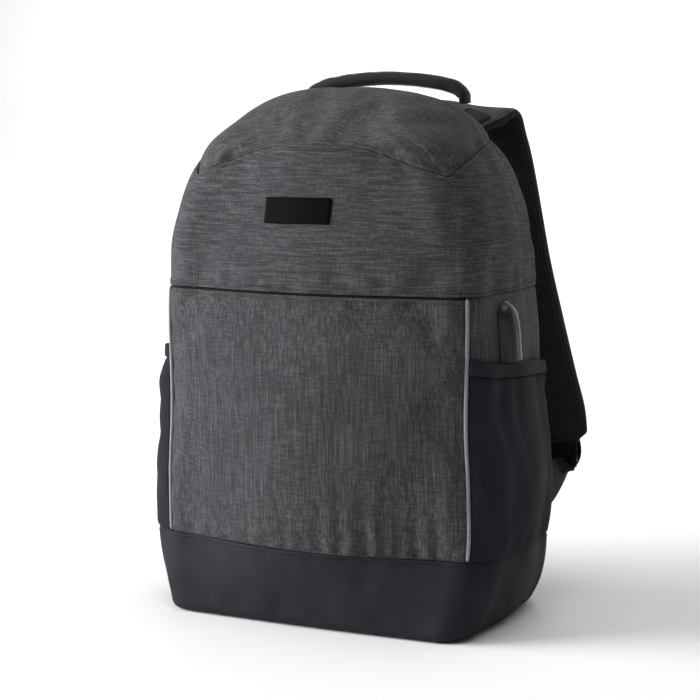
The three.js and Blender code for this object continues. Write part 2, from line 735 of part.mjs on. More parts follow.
// The share of the strap's length at which its middle line first reaches a distance behind the bag.
function strapShareAt(y) {
  let share = 0;
  while (STRAP_LINE.getPoint(share).y < y) share += 0.002;
  return share;
}

// The webbing strip under the handle's end, laid on the strap's cover.
function handleAnchor() {
  const from = strapShareAt(HANDLE_Y - ANCHOR_FRONT_REACH);
  const to = strapShareAt(HANDLE_Y - ANCHOR_FRONT_REACH + ANCHOR_LENGTH);
  const lift = 2 * SEAM_GAP + STRAP_COVER;
  const grid = (beyond) => steps(from, to, 4).map((share) => {
    return [0.1, 0.3, 0.5, 0.68, 0.86, 1].map((across) => strapPoint(share, across, 1, beyond));
  });
  return slab(grid(lift + ANCHOR_THICKNESS), grid(lift));
}

// The height of the anchor strip's top under a point of the handle.
function anchorTop(x, y) {
  const share = strapShareAt(y);
  const frame = strapFrame(share);
  const across = (x - frame.middle.x) / (frame.width.x * frame.halfWidth);
  return strapPoint(share, across, 1, 2 * SEAM_GAP + STRAP_COVER + ANCHOR_THICKNESS).z;
}

function topHandle() {
  const crown = BODY_HEIGHT + HANDLE_RISE - HANDLE_THICKNESS / 2;
  const inside = HANDLE_HALF_SPAN - HANDLE_THICKNESS / 2;
  const foot = anchorTop(inside, HANDLE_Y + HANDLE_WIDTH / 2) + 2 * SEAM_GAP;
  const right = HANDLE_ROUTE.map((row) => {
    return new THREE.Vector3(row.across * HANDLE_HALF_SPAN, HANDLE_Y, crown - row.fall * (crown - foot));
  });
  const left = right.slice(1).map((point) => new THREE.Vector3(-point.x, point.y, point.z)).reverse();
  const line = new THREE.CatmullRomCurve3([...left, ...right]);
  const forward = new THREE.Vector3(0, -1, 0);
  const grid = (side) => steps(0, 1, 18).map((share) => {
    const middle = line.getPoint(share);
    const thickness = read(HANDLE_ROUTE, 'across', 'thickness', Math.abs(middle.x) / HANDLE_HALF_SPAN);
    const out = forward.clone().cross(line.getTangent(share)).normalize();
    return PADDED_EDGE.map(({ across, swell }) => middle.clone()
      .addScaledVector(forward, (across * HANDLE_WIDTH) / 2)
      .addScaledVector(out, (side * swell * thickness * HANDLE_THICKNESS) / 2));
  });
  return slab(grid(1), grid(-1));
}

// The ladder-lock's own axes: middle point, across, up towards the strap, and out from the body.
function lockFrame() {
  const end = strapFrame(1);
  const up = end.direction.clone().negate();
  const middle = end.middle.clone().addScaledVector(end.direction, SEAM_GAP + LOCK_HEIGHT / 2);
  return { middle, across: end.width, up, out: end.out };
}

function ladderLock() {
  const plate = (width, height, centre = 0) => {
    const left = -width / 2;
    const bottom = centre - height / 2;
    const corners = [[left, bottom], [-left, bottom], [-left, bottom + height], [left, bottom + height]];
    return corners.map(([x, y]) => new THREE.Vector2(x, y));
  };
  const shape = new THREE.Shape(plate(LOCK_WIDTH, LOCK_HEIGHT));
  const slot = (LOCK_HEIGHT - 3 * LOCK_BAR) / 2;
  for (const side of [-1, 1]) {
    const hole = plate(LOCK_WIDTH - 2 * LOCK_BAR, slot, (side * (slot + LOCK_BAR)) / 2);
    shape.holes.push(new THREE.Path(hole.reverse()));
  }
  const geometry = new THREE.ExtrudeGeometry(shape, { depth: LOCK_THICKNESS, bevelEnabled: false });
  geometry.translate(0, 0, -LOCK_THICKNESS / 2);
  const { middle, across, up, out } = lockFrame();
  const frame = new THREE.Matrix4().makeBasis(across, up, out.clone().negate()).setPosition(middle);
  return geometry.applyMatrix4(frame);
}

// The tab is sewn into the rear corner and narrows to the webbing's width.
function tabEnds() {
  const place = REAR_CORNER + TAB_CORNER_SHIFT;
  const middleHeight = TAB_BOTTOM + TAB_HEIGHT / 2;
  const root = offBody(middleHeight, place, TAB_THICKNESS);
  const lock = lockFrame();
  const towards = lock.middle.clone().sub(root).setZ(0).normalize();
  const tip = root.clone().addScaledVector(towards, TAB_LENGTH);
  tip.z += TAB_LENGTH / 4;
  return { place, root, tip, towards };
}

function strapTab() {
  const { place, root, tip, towards } = tabEnds();
  const side = new THREE.Vector3(0, 0, 1).cross(towards);
  const grid = (sign) => steps(0, 1, 3).map((share) => {
    const middle = root.clone().lerp(tip, share);
    const height = lerp(TAB_HEIGHT, WEBBING_WIDTH, share);
    return steps(-0.5, 0.5, 2).map((up) => {
      const point = middle.clone().addScaledVector(side, (sign * TAB_THICKNESS) / 2);
      point.z += up * height;
      if (share > 0) return point;
      const foot = offBody(point.z, place, TAB_THICKNESS);
      return foot.addScaledVector(side, (sign * TAB_THICKNESS) / 2);
    });
  });
  return slab(grid(1), grid(-1));
}

// The webbing leaves the tab's tip, passes behind the lock's lower bar, turns over its middle bar and hangs down
// in front as a free tail.
function strapWebbing() {
  const { middle, across, up, out } = lockFrame();
  const { tip, towards } = tabEnds();
  const clear = LOCK_THICKNESS / 2 + WEBBING_CLEARANCE + WEBBING_THICKNESS / 2;
  const at = (rise, stand) => middle.clone().addScaledVector(up, rise).addScaledVector(out, stand);
  const start = tip.clone().addScaledVector(towards, WEBBING_CLEARANCE);
  const turn = LOCK_BAR / 2 + clear - LOCK_THICKNESS / 2;
  const route = [
    start,
    start.clone().lerp(at(-LOCK_HEIGHT * 0.75, -clear), 0.5),
    at(-LOCK_HEIGHT * 0.75, -clear - WEBBING_SLACK),
    at(-LOCK_HEIGHT * 0.4, -clear),
    at(-LOCK_BAR / 4, -clear),
    at(turn * 0.8, -clear * 0.7),
    at(turn, 0),
    at(turn * 0.8, clear * 0.7),
    at(-LOCK_BAR / 4, clear),
    at(-LOCK_HEIGHT * 0.4, clear),
    at(-LOCK_HEIGHT * 0.8, clear + WEBBING_SLACK),
    at(-LOCK_HEIGHT / 2 - WEBBING_TAIL / 2, clear + WEBBING_TAIL_STAND),
    at(-LOCK_HEIGHT / 2 - WEBBING_TAIL, clear + WEBBING_TAIL_STAND + WEBBING_TAIL_FLARE),
  ];
  const line = new THREE.CatmullRomCurve3(route);
  const upright = new THREE.Vector3(0, 0, 1);
  const grid = (side) => steps(0, 1, 36).map((share) => {
    const direction = line.getTangent(share);
    const width = upright.clone().lerp(across, smooth(share / 0.22));
    width.addScaledVector(direction, -width.dot(direction)).normalize();
    const face = width.clone().cross(direction).normalize();
    return [-0.5, 0.5].map((place) => line.getPoint(share)
      .addScaledVector(width, place * WEBBING_WIDTH)
      .addScaledVector(face, (side * WEBBING_THICKNESS) / 2));
  });
  return slab(grid(1), grid(-1));
}

const backpack = new THREE.Group();

function add(name, geometry, material) {
  const mesh = new THREE.Mesh(geometry, material);
  mesh.name = name;
  backpack.add(mesh);
}

// Adds a right-hand piece and its mirror image.
function addPair(name, geometry, material) {
  add(`${name}_right`, geometry, material);
  add(`${name}_left`, mirrored(geometry), material);
}

add('base_band', baseBand(), fabric(COLOURS.polyester, 0.6));
add('lower_panel', lowerPanel(), fabric(COLOURS.melange));
add('upper_panel', upperPanel(), fabric(COLOURS.melange));
add('top_gusset', topGusset(), fabric(COLOURS.melange));
add('back_panel', backPanel(), fabric(COLOURS.mesh));
add('main_zip', mainZip(), fabric(COLOURS.zip, 0.6));
add('front_pocket', frontPocket(), fabric(COLOURS.melange));
add('pocket_zip', pocketZip(), fabric(COLOURS.zip, 0.6));
add('label_patch', labelPatch(), fabric(COLOURS.label, 0.5));
add('usb_cover', usbCover(), fabric(COLOURS.rubber, 0.5));
add('top_handle', topHandle(), fabric(COLOURS.stretch));
addPair('side_pocket', sidePocket(), fabric(COLOURS.stretch, 0.8));
addPair('pocket_hem', pocketHem(), fabric(COLOURS.stretch, 0.8));
addPair('piping', piping(), fabric(COLOURS.piping, 0.4));
addPair('handle_anchor', handleAnchor(), fabric(COLOURS.mesh));
addPair('strap_pad', strapPad(), fabric(COLOURS.mesh));
addPair('strap_cover', strapCover(), fabric(COLOURS.melange));
addPair('ladder_lock', ladderLock(), fabric(COLOURS.plastic, 0.4));
addPair('strap_webbing', strapWebbing(), fabric(COLOURS.mesh));
addPair('strap_tab', strapTab(), fabric(COLOURS.mesh));

export default backpack;
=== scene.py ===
# The dressed laptop backpack. Lengths in the tables and shape functions are millimetres, in the frame's own axes.

import json
import math
import random
from functools import lru_cache

import bpy
import numpy as np
from mathutils import Matrix, Vector, noise
from mathutils.bvhtree import BVHTree

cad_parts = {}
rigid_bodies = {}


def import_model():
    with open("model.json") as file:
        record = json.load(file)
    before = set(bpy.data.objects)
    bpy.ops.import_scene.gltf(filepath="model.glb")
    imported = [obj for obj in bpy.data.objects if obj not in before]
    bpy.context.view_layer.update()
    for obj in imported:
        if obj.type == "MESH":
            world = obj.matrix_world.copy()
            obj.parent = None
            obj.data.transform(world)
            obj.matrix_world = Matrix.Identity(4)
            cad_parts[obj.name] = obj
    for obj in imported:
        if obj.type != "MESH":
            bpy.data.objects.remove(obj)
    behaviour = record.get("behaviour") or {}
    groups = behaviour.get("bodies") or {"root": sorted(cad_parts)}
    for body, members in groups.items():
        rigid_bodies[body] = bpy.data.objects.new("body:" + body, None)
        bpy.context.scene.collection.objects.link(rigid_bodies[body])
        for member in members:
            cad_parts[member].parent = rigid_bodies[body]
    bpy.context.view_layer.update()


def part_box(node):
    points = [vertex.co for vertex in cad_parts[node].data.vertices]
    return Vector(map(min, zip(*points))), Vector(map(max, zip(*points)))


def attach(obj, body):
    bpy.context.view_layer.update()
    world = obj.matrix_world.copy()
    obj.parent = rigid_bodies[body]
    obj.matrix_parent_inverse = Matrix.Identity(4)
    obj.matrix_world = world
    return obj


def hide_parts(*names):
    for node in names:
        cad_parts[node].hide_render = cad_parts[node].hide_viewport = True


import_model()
MM = 0.001
random.seed(7)

# Camera
CAMERA_PLACE = (0.7227, -1.4786, 0.4288)
CAMERA_AZIMUTH = 26.0
CAMERA_PITCH = 7.0
CAMERA_LENS = 97.7

# Body sizes
BODY_HEIGHT = 453.0
BODY_WIDTH = 296.0
BODY_DEPTH = 182.0
SHOULDER_HEIGHT = 284.0
KNEE_HEIGHT = 404.0
SIDE_BOW = 4.0
DOME_ROUNDNESS = 2.7
DOME_FRONT_ROUNDNESS = 1.25
DOME_BACK_ROUNDNESS = 2.5
BASE_EDGE_RADIUS = 7.0
BAND_HEIGHT = 66.0
POCKET_SEAM_HEIGHT = 284.0
REAR_SEAM_HEIGHT = 410.0
POCKET_TOP = 282.0
PIPING_RADIUS = 1.6
SIDE_POCKET_TOP = 224.0
SIDE_POCKET_FALL = 19.0
SIDE_POCKET_BULGE = 10.0
HEM_HEIGHT = 12.0
CAP_CORNER = 1.43
REAR_CORNER = 3.5
FULL_TURN = 10.0
PORT_PLACE = 2.26

# Columns: height, half width, front, bow, back, front radius, back radius, as shares.
BODY_SECTIONS = (
    (0.0, 0.485, -0.49, 0.01, 0.54, 0.1, 0.12),
    (0.06, 0.522, -0.5, 0.05, 0.555, 0.115, 0.12),
    (0.146, 0.542, -0.51, 0.12, 0.54, 0.12, 0.12),
    (0.265, 0.534, -0.527, 0.13, 0.54, 0.12, 0.118),
    (0.397, 0.516, -0.533, 0.12, 0.56, 0.128, 0.111),
    (0.627, 0.5, -0.505, 0.09, 0.495, 0.101, 0.095),
    (0.775, 0.47, -0.44, 0.066, 0.429, 0.108, 0.095),
    (0.892, 0.4, -0.385, 0.044, 0.379, 0.122, 0.108),
)
CAP_SEAM_FRONT = ((0.0, 0.896), (0.4, 0.895), (0.7, 0.884), (1.0, 0.863), (1.43, 0.8375))
CAP_SEAM_SIDE = ((1.43, 0.8375), (1.5, 0.847), (1.75, 0.868), (2.0, 0.881), (2.25, 0.889), (2.5, 0.894), (3.0, 0.9),
                 (3.5, 0.903), (4.0, 0.90508), (5.0, 0.90508))
PIPING_PLACES = ((0.0, 1.3), (0.25, 1.36), (0.5, 1.43), (1.0, 1.5))
LEFT_FLARE = ((0.0, -4.0), (10.0, -5.1), (20.0, -4.8), (30.0, -2.7), (45.0, 1.8), (66.0, 6.6), (80.0, 6.2),
              (100.0, 4.6), (150.0, 1.8), (220.0, 0.0))
LEFT_FULLNESS = ((66.0, 0.0), (135.0, 0.0), (165.0, 2.5), (180.0, 5.0), (190.0, 6.5), (200.0, 6.5), (210.0, 4.0),
                 (221.0, 0.8))
SIDE_POCKET_PROFILE = ((0.0, 0.05), (0.1, 0.6), (0.26, 1.0), (0.45, 0.9), (0.7, 0.55), (1.0, 0.28))

# Columns: across, behind, height, width, thickness, lean.
STRAP_ROUTE = (
    (0.193, -0.16, 0.929, 0.94, 0.42, 0.3),
    (0.216, 0.22, 0.943, 0.97, 0.8, 0.25),
    (0.243, 0.62, 0.951, 1.0, 1.0, 0.17),
    (0.255, 0.86, 0.951, 1.0, 1.0, 0.12),
    (0.264, 1.02, 0.938, 1.0, 1.0, 0.06),
    (0.272, 1.08, 0.909, 1.0, 1.0, 0.0),
    (0.288, 1.12, 0.857, 1.0, 1.0, 0.0),
    (0.315, 1.02, 0.762, 1.0, 1.0, 0.0),
    (0.349, 0.89, 0.651, 0.97, 1.0, 0.0),
    (0.388, 0.86, 0.541, 0.94, 1.0, 0.0),
    (0.426, 0.92, 0.435, 0.89, 1.0, 0.0),
    (0.456, 1.05, 0.36, 0.83, 0.9, 0.0),
    (0.47, 1.1, 0.305, 0.8, 0.7, 0.0),
)
STRAP_WIDTH = 70.0
STRAP_THICKNESS = 12.0
STRAP_BOW = 50.0

# Columns: across, fall, thickness.
HANDLE_ROUTE = ((0.0, 0.0, 1.0), (0.35, 0.06, 1.0), (0.65, 0.19, 1.0), (0.87, 0.38, 0.95), (0.98, 0.66, 0.8),
                (1.0, 1.0, 0.55))
HANDLE_HALF_SPAN = 76.0
HANDLE_TOP = 469.0
HANDLE_Y = 78.0
HANDLE_WIDTH = 22.0
HANDLE_THICKNESS = 12.0


def lerp(a, b, t):
    return a + (b - a) * t


def smooth(value):
    t = min(1.0, max(0.0, value))
    return t * t * (3 - 2 * t)


def bump(x, middle, width):
    return math.exp(-((x - middle) / width) ** 2)


def read(table, column, place):
    last = len(table) - 1
    if place <= table[0][0]:
        return table[0][column]
    if place >= table[last][0]:
        return table[last][column]
    row = 0
    while table[row + 1][0] < place:
        row += 1
    before = table[max(0, row - 1)]
    start = table[row]
    end = table[row + 1]
    after = table[min(last, row + 2)]
    step = end[0] - start[0]
    t = (place - start[0]) / step
    slope_a = (end[column] - before[column]) / (end[0] - before[0]) * step
    slope_b = (after[column] - start[column]) / (after[0] - start[0]) * step
    return ((2 * t ** 3 - 3 * t ** 2 + 1) * start[column] + (t ** 3 - 2 * t ** 2 + t) * slope_a
            + (3 * t ** 2 - 2 * t ** 3) * end[column] + (t ** 3 - t ** 2) * slope_b)


def steps(a, b, count):
    return [lerp(a, b, i / count) for i in range(count + 1)]


@lru_cache(maxsize=None)
def outline(z):
    share = z / BODY_HEIGHT
    shoulder = min(1.0, max(0.0, (z - SHOULDER_HEIGHT) / (BODY_HEIGHT - SHOULDER_HEIGHT)))
    knee = min(1.0, max(0.0, (z - KNEE_HEIGHT) / (BODY_HEIGHT - KNEE_HEIGHT)))
    half = read(BODY_SECTIONS, 1, share) * BODY_WIDTH
    if shoulder > 0:
        half = BODY_WIDTH / 2 * max(0.0, 1 - shoulder ** DOME_ROUNDNESS) ** (1 / DOME_ROUNDNESS)
    bow_full = read(BODY_SECTIONS, 3, share) * BODY_DEPTH
    front_fall = max(0.0, 1 - knee ** DOME_FRONT_ROUNDNESS) ** (1 / DOME_FRONT_ROUNDNESS)
    back_fall = max(0.0, 1 - knee ** DOME_BACK_ROUNDNESS) ** (1 / DOME_BACK_ROUNDNESS)
    front = (read(BODY_SECTIONS, 2, share) * BODY_DEPTH + bow_full) * front_fall
    back = read(BODY_SECTIONS, 4, share) * BODY_DEPTH * back_fall
    largest = min(0.72 * half, 0.46 * (back - front))
    growth = 1 + 0.5 * shoulder
    front_radius = min(read(BODY_SECTIONS, 5, share) * BODY_WIDTH * growth, largest)
    back_radius = min(read(BODY_SECTIONS, 6, share) * BODY_WIDTH * growth, largest)
    return half, bow_full * (1 - knee), front, back, front_radius, back_radius


# How far the left side's foot is drawn in, and the band's top and the side pocket's foot bulge out.
def flare(z, along):
    return read(LEFT_FLARE, 1, z) * smooth((along - 1.35) / 0.3) * smooth((4.6 - along) / 1.2)


def body_point(z, place, inset=0.0):
    wrapped = place - FULL_TURN if place > FULL_TURN / 2 else place
    side = -1 if wrapped < 0 else 1
    along = abs(wrapped)
    half, bow, front, back, front_radius, back_radius = outline(z)
    full = half
    half -= inset
    front += inset
    back -= inset
    front_radius = max(0.0, front_radius - inset)
    back_radius = max(0.0, back_radius - inset)
    quarter = math.pi / 2
    if along <= 1:
        x = along * (half - front_radius)
        y = front - bow * max(0.0, 1 - along * along) ** 1.5
    elif along <= 2:
        angle = (along - 1) * quarter
        x = half - front_radius + front_radius * math.sin(angle)
        y = front + front_radius - front_radius * math.cos(angle)
    elif along <= 3:
        share = along - 2
        x = half + SIDE_BOW * (full / (BODY_WIDTH / 2)) * math.sin(math.pi * share) ** 2
        y = lerp(front + front_radius, back - back_radius, share)
    elif along <= 4:
        angle = (along - 3) * quarter
        x = half - back_radius + back_radius * math.cos(angle)
        y = back - back_radius + back_radius * math.sin(angle)
    else:
        x = (half - back_radius) * (5 - along)
        y = back
    if side < 0:
        x += flare(z, along)
    return Vector((side * x, y, z))


def body_normal(z, place):
    low = max(0.0, z - 0.5)
    high = min(BODY_HEIGHT - 0.01, z + 0.5)
    along = body_point(z, place + 0.002) - body_point(z, place - 0.002)
    up = body_point(high, place) - body_point(low, place)
    return along.cross(up).normalized()


def off_body(z, place, distance):
    return body_point(z, place) + body_normal(z, place) * distance


def moved_place(z, place, millimetres):
    section = outline(z)
    radius = section[4] if abs(place) < 3 else section[5]
    return place + math.copysign(millimetres, place) / (radius * math.pi / 2)


def cap_seam(place):
    along = abs(place - FULL_TURN if place > FULL_TURN / 2 else place)
    if along < CAP_CORNER:
        return BODY_HEIGHT * read(CAP_SEAM_FRONT, 1, along)
    return BODY_HEIGHT * read(CAP_SEAM_SIDE, 1, along)


def piping_place(z):
    return read(PIPING_PLACES, 1, (z - BAND_HEIGHT) / (POCKET_SEAM_HEIGHT - BAND_HEIGHT))


# Evenly spaced places between two places of the outline, by length along it.
def even_places(z, start, end, pitch):
    fine = steps(start, end, max(8, int(abs(end - start) * 60)))
    points = [body_point(z, p) for p in fine]
    lengths = [0.0]
    for a, b in zip(points, points[1:]):
        lengths.append(lengths[-1] + (b - a).length)
    count = max(2, round(lengths[-1] / pitch))
    return list(np.interp(np.linspace(0, lengths[-1], count + 1), lengths, fine))


# A mesh from rows of points, with its cloth coordinates in metres as its UV map.
def grid_mesh(name, rows, closed=False, flip=False):
    columns = len(rows[0])
    points = [tuple(p * MM) for row in rows for p in row]
    faces = []
    for r in range(len(rows) - 1):
        for c in range(columns if closed else columns - 1):
            n = (c + 1) % columns
            face = (r * columns + c, r * columns + n, (r + 1) * columns + n, (r + 1) * columns + c)
            faces.append(face[::-1] if flip else face)
    mesh = bpy.data.meshes.new(name)
    mesh.from_pydata(points, [], faces)
    obj = bpy.data.objects.new(name, mesh)
    bpy.context.collection.objects.link(obj)
    middle = columns // 2
    u = np.zeros((len(rows), columns + 1))
    v = np.zeros((len(rows), columns + 1))
    for r, row in enumerate(rows):
        run = 0.0
        for c in range(columns + 1):
            if c:
                run += (row[c % columns] - row[c - 1]).length
            u[r, c] = run
        u[r] -= u[r, middle]
    for c in range(columns + 1):
        run = 0.0
        for r in range(len(rows)):
            if r:
                run += (rows[r][c % columns] - rows[r - 1][c % columns]).length
            v[r, c] = run
    layer = mesh.uv_layers.new(name="cloth").data
    corner = 0
    for face_index, face in enumerate(faces):
        r, c = divmod(face_index, columns if closed else columns - 1)
        corners = ((r, c), (r, c + 1), (r + 1, c + 1), (r + 1, c))
        if flip:
            corners = corners[::-1]
        for i, j in corners:
            layer[corner].uv = (u[i, j] * MM, v[i, j] * MM)
            corner += 1
    mesh.polygons.foreach_set("use_smooth", [True] * len(faces))
    return obj


def apply_modifiers(obj):
    depsgraph = bpy.context.evaluated_depsgraph_get()
    mesh = bpy.data.meshes.new_from_object(obj.evaluated_get(depsgraph))
    obj.modifiers.clear()
    old = obj.data
    obj.data = mesh
    bpy.data.meshes.remove(old)
    mesh.polygons.foreach_set("use_smooth", [True] * len(mesh.polygons))


def subdivide(obj, levels=1):
    modifier = obj.modifiers.new("surface", "SUBSURF")
    modifier.levels = levels
    modifier.boundary_smooth = "PRESERVE_CORNERS"
    apply_modifiers(obj)


def thicken(obj, thickness):
    modifier = obj.modifiers.new("wall", "SOLIDIFY")
    modifier.thickness = thickness * MM
    modifier.offset = -1
    modifier.use_rim = True
    apply_modifiers(obj)


def co_array(mesh):
    values = np.empty(len(mesh.vertices) * 3)
    mesh.vertices.foreach_get("co", values)
    return values.reshape(-1, 3)


# Lets a sheet of cloth swell and pucker between its held points, then keeps the result within a cap.
def settle(obj, held, pressure=2.0, slack=0.02, cap=4.0, sink=2.0, frames=16, stiffness=12.0, bending=0.5):
    mesh = obj.data
    rest = co_array(mesh)
    normals = np.empty(len(mesh.vertices) * 3)
    mesh.vertices.foreach_get("normal", normals)
    normals = normals.reshape(-1, 3)
    start = rest.copy()
    for i, p in enumerate(rest):
        if held[i] < 1:
            start[i] += normals[i] * 0.0006 * noise.noise(Vector(p) * 45)
    mesh.vertices.foreach_set("co", start.ravel())
    group = obj.vertex_groups.new(name="held")
    for i, weight in enumerate(held):
        if weight > 0:
            group.add([i], weight, "REPLACE")
    modifier = obj.modifiers.new("cloth", "CLOTH")
    settings = modifier.settings
    settings.quality = 5
    settings.mass = 0.3
    settings.tension_stiffness = stiffness
    settings.compression_stiffness = stiffness
    settings.shear_stiffness = stiffness / 2
    settings.bending_stiffness = bending
    settings.vertex_group_mass = "held"
    settings.pin_stiffness = 1.0
    settings.shrink_min = -slack
    settings.use_pressure = True
    settings.uniform_pressure_force = pressure
    settings.effector_weights.gravity = 0.0
    modifier.collision_settings.use_collision = False
    modifier.collision_settings.use_self_collision = False
    modifier.point_cache.frame_start = 1
    modifier.point_cache.frame_end = frames
    scene = bpy.context.scene
    for number in range(1, frames + 1):
        scene.frame_set(number)
    settled = obj.evaluated_get(bpy.context.evaluated_depsgraph_get()).to_mesh()
    moved = co_array(settled) - rest
    obj.evaluated_get(bpy.context.evaluated_depsgraph_get()).to_mesh_clear()
    obj.modifiers.clear()
    obj.vertex_groups.clear()
    scene.frame_set(1)
    out = np.einsum("ij,ij->i", moved, normals)
    across = moved - normals * out[:, None]
    hi, lo = cap * MM, sink * MM
    limited = np.where(out > 0, hi * np.tanh(out / hi), lo * np.tanh(out / lo))
    free = 1 - np.clip(np.array(held), 0, 1)
    result = rest + (normals * limited[:, None] + across * 0.5) * np.where(free > 0, 1, 0)[:, None]
    mesh.vertices.foreach_set("co", result.ravel())
    mesh.update()


def finish_piece(obj, material, slot, *nodes):
    obj.data.materials.clear()
    obj.data.materials.append(material)
    if nodes:
        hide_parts(*nodes)
    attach(obj, "root")
    return obj


# Node helpers
class Shade:
    def __init__(self, name):
        self.material = bpy.data.materials.new(name)
        self.material.use_nodes = True
        self.tree = self.material.node_tree
        self.tree.nodes.clear()
        self.out = self.add("ShaderNodeOutputMaterial")
        self.surface = self.add("ShaderNodeBsdfPrincipled")
        self.link(self.surface, "BSDF", self.out, "Surface")

    def add(self, kind, **values):
        node = self.tree.nodes.new(kind)
        for key, value in values.items():
            setattr(node, key, value)
        return node

    def link(self, a, output, b, entry):
        self.tree.links.new(a.outputs[output], b.inputs[entry])

    def coordinates(self, scale, source="Object"):
        place = self.add("ShaderNodeTexCoord")
        mapping = self.add("ShaderNodeMapping")
        mapping.inputs["Scale"].default_value = scale
        self.link(place, source, mapping, "Vector")
        return mapping

    def noise(self, scale, detail=3.0, roughness=0.6, source="Object"):
        mapping = self.coordinates(scale, source)
        node = self.add("ShaderNodeTexNoise")
        node.inputs["Scale"].default_value = 1.0
        node.inputs["Detail"].default_value = detail
        node.inputs["Roughness"].default_value = roughness
        self.link(mapping, "Vector", node, "Vector")
        return node

    def math(self, operation, a, b):
        node = self.add("ShaderNodeMath", operation=operation)
        for index, value in enumerate((a, b)):
            if isinstance(value, (int, float)):
                node.inputs[index].default_value = value
            elif isinstance(value, tuple):
                self.tree.links.new(value[0].outputs[value[1]], node.inputs[index])
            else:
                self.tree.links.new(value.outputs[0], node.inputs[index])
        return node

    def ramp(self, source, stops):
        node = self.add("ShaderNodeValToRGB")
        while len(node.color_ramp.elements) > 1:
            node.color_ramp.elements.remove(node.color_ramp.elements[0])
        for index, (position, colour) in enumerate(stops):
            element = node.color_ramp.elements[0] if index == 0 else node.color_ramp.elements.new(position)
            element.position = position
            element.color = (*colour, 1)
        self.tree.links.new(source.outputs[0], node.inputs[0])
        return node

    def bump(self, source, strength, distance):
        node = self.add("ShaderNodeBump")
        node.inputs["Strength"].default_value = strength
        node.inputs["Distance"].default_value = distance
        self.tree.links.new(source.outputs[0], node.inputs["Height"])
        self.link(node, "Normal", self.surface, "Normal")
        return node

    def set(self, **values):
        for key, value in values.items():
            self.surface.inputs[key.replace("_", " ")].default_value = value


def sine_weave(shade, pitch_u, pitch_v, source="UV"):
    place = shade.add("ShaderNodeTexCoord")
    split = shade.add("ShaderNodeSeparateXYZ")
    shade.link(place, source, split, "Vector")
    waves = []
    for axis, pitch in (("X", pitch_u), ("Y", pitch_v)):
        scaled = shade.math("MULTIPLY", (split, axis), 2 * math.pi / pitch)
        waves.append(shade.add("ShaderNodeMath", operation="SINE"))
        shade.tree.links.new(scaled.outputs[0], waves[-1].inputs[0])
    return waves


# Two-tone yarn cloth: fine streaks along the grain, finer crossing yarns and a slow drift of tone.
def melange(name, grain, tone=1.0, blue=1.0):
    shade = Shade(name)
    fine = 1000.0
    long = {"u": 70.0, "h": 50.0, "v": 28.0}[grain]
    scale = {"u": (long, fine, 1.0), "h": (long, long, fine), "v": (fine, fine, long)}[grain]
    short = 95.0
    crossing = {"u": (fine, short, 1.0), "h": (fine, fine, short), "v": (short, short, fine)}[grain]
    source = "UV" if grain == "u" else "Object"
    streak = shade.noise(scale, 2.5, 0.65, source)
    cross = shade.noise(crossing, 2.0, 0.6, source)
    speck = shade.noise((420.0, 420.0, 420.0), 2.0, 0.7)
    drift = shade.noise((14.0, 14.0, 14.0), 2.0, 0.5)
    a = shade.math("MULTIPLY", streak, 0.55)
    b = shade.math("MULTIPLY", cross, 0.27)
    c = shade.math("MULTIPLY", speck, 0.1)
    d = shade.math("MULTIPLY", drift, 0.08)
    total = shade.math("ADD", shade.math("ADD", a, b), shade.math("ADD", c, d))
    dark = tuple(tone * v for v in (0.0195, 0.02, 0.0225 * blue))
    middle = tuple(tone * v for v in (0.049, 0.050, 0.0545 * blue))
    light = tuple(tone * v for v in (0.120, 0.122, 0.128 * blue))
    colour = shade.ramp(total, ((0.33, dark), (0.5, middle), (0.67, light)))
    shade.link(colour, "Color", shade.surface, "Base Color")
    rough = shade.math("ADD", shade.math("MULTIPLY", total, -0.15), 0.95)
    shade.link(rough, "Value", shade.surface, "Roughness")
    weave = sine_weave(shade, 0.0011, 0.0011)
    both = shade.math("MULTIPLY", weave[0], weave[1])
    height = shade.math("ADD", shade.math("MULTIPLY", both, 0.35), total)
    shade.bump(height, 0.55, 0.0006)
    shade.set(Sheen_Weight=0.05, Sheen_Roughness=0.45, Specular_IOR_Level=0.1)
    return shade.material


# Close smooth cloth with a faint ripstop-free plain weave.
def close_cloth(name, colour, roughness=0.62, pitch=0.0007, sheen=0.02, gloss=0.08, mottling=0.22):
    shade = Shade(name)
    drift = shade.noise((22.0, 22.0, 22.0), 4.0, 0.6)
    fine = shade.noise((900.0, 900.0, 900.0), 2.0, 0.6)
    total = shade.math("ADD", shade.math("MULTIPLY", drift, 0.6), shade.math("MULTIPLY", fine, 0.4))
    low = tuple(v * (1 - mottling) for v in colour)
    high = tuple(v * (1 + mottling) for v in colour)
    tint = shade.ramp(total, ((0.32, low), (0.68, high)))
    shade.link(tint, "Color", shade.surface, "Base Color")
    rough = shade.math("ADD", shade.math("MULTIPLY", total, 0.2), roughness - 0.1)
    shade.link(rough, "Value", shade.surface, "Roughness")
    weave = sine_weave(shade, pitch * 2, pitch * 2)
    both = shade.math("MULTIPLY", weave[0], weave[1])
    height = shade.math("ADD", shade.math("MULTIPLY", both, 0.5), shade.math("MULTIPLY", fine, 0.4))
    shade.bump(height, 0.4, 0.0003)
    shade.set(Sheen_Weight=sheen, Sheen_Roughness=0.4, Specular_IOR_Level=gloss)
    return shade.material


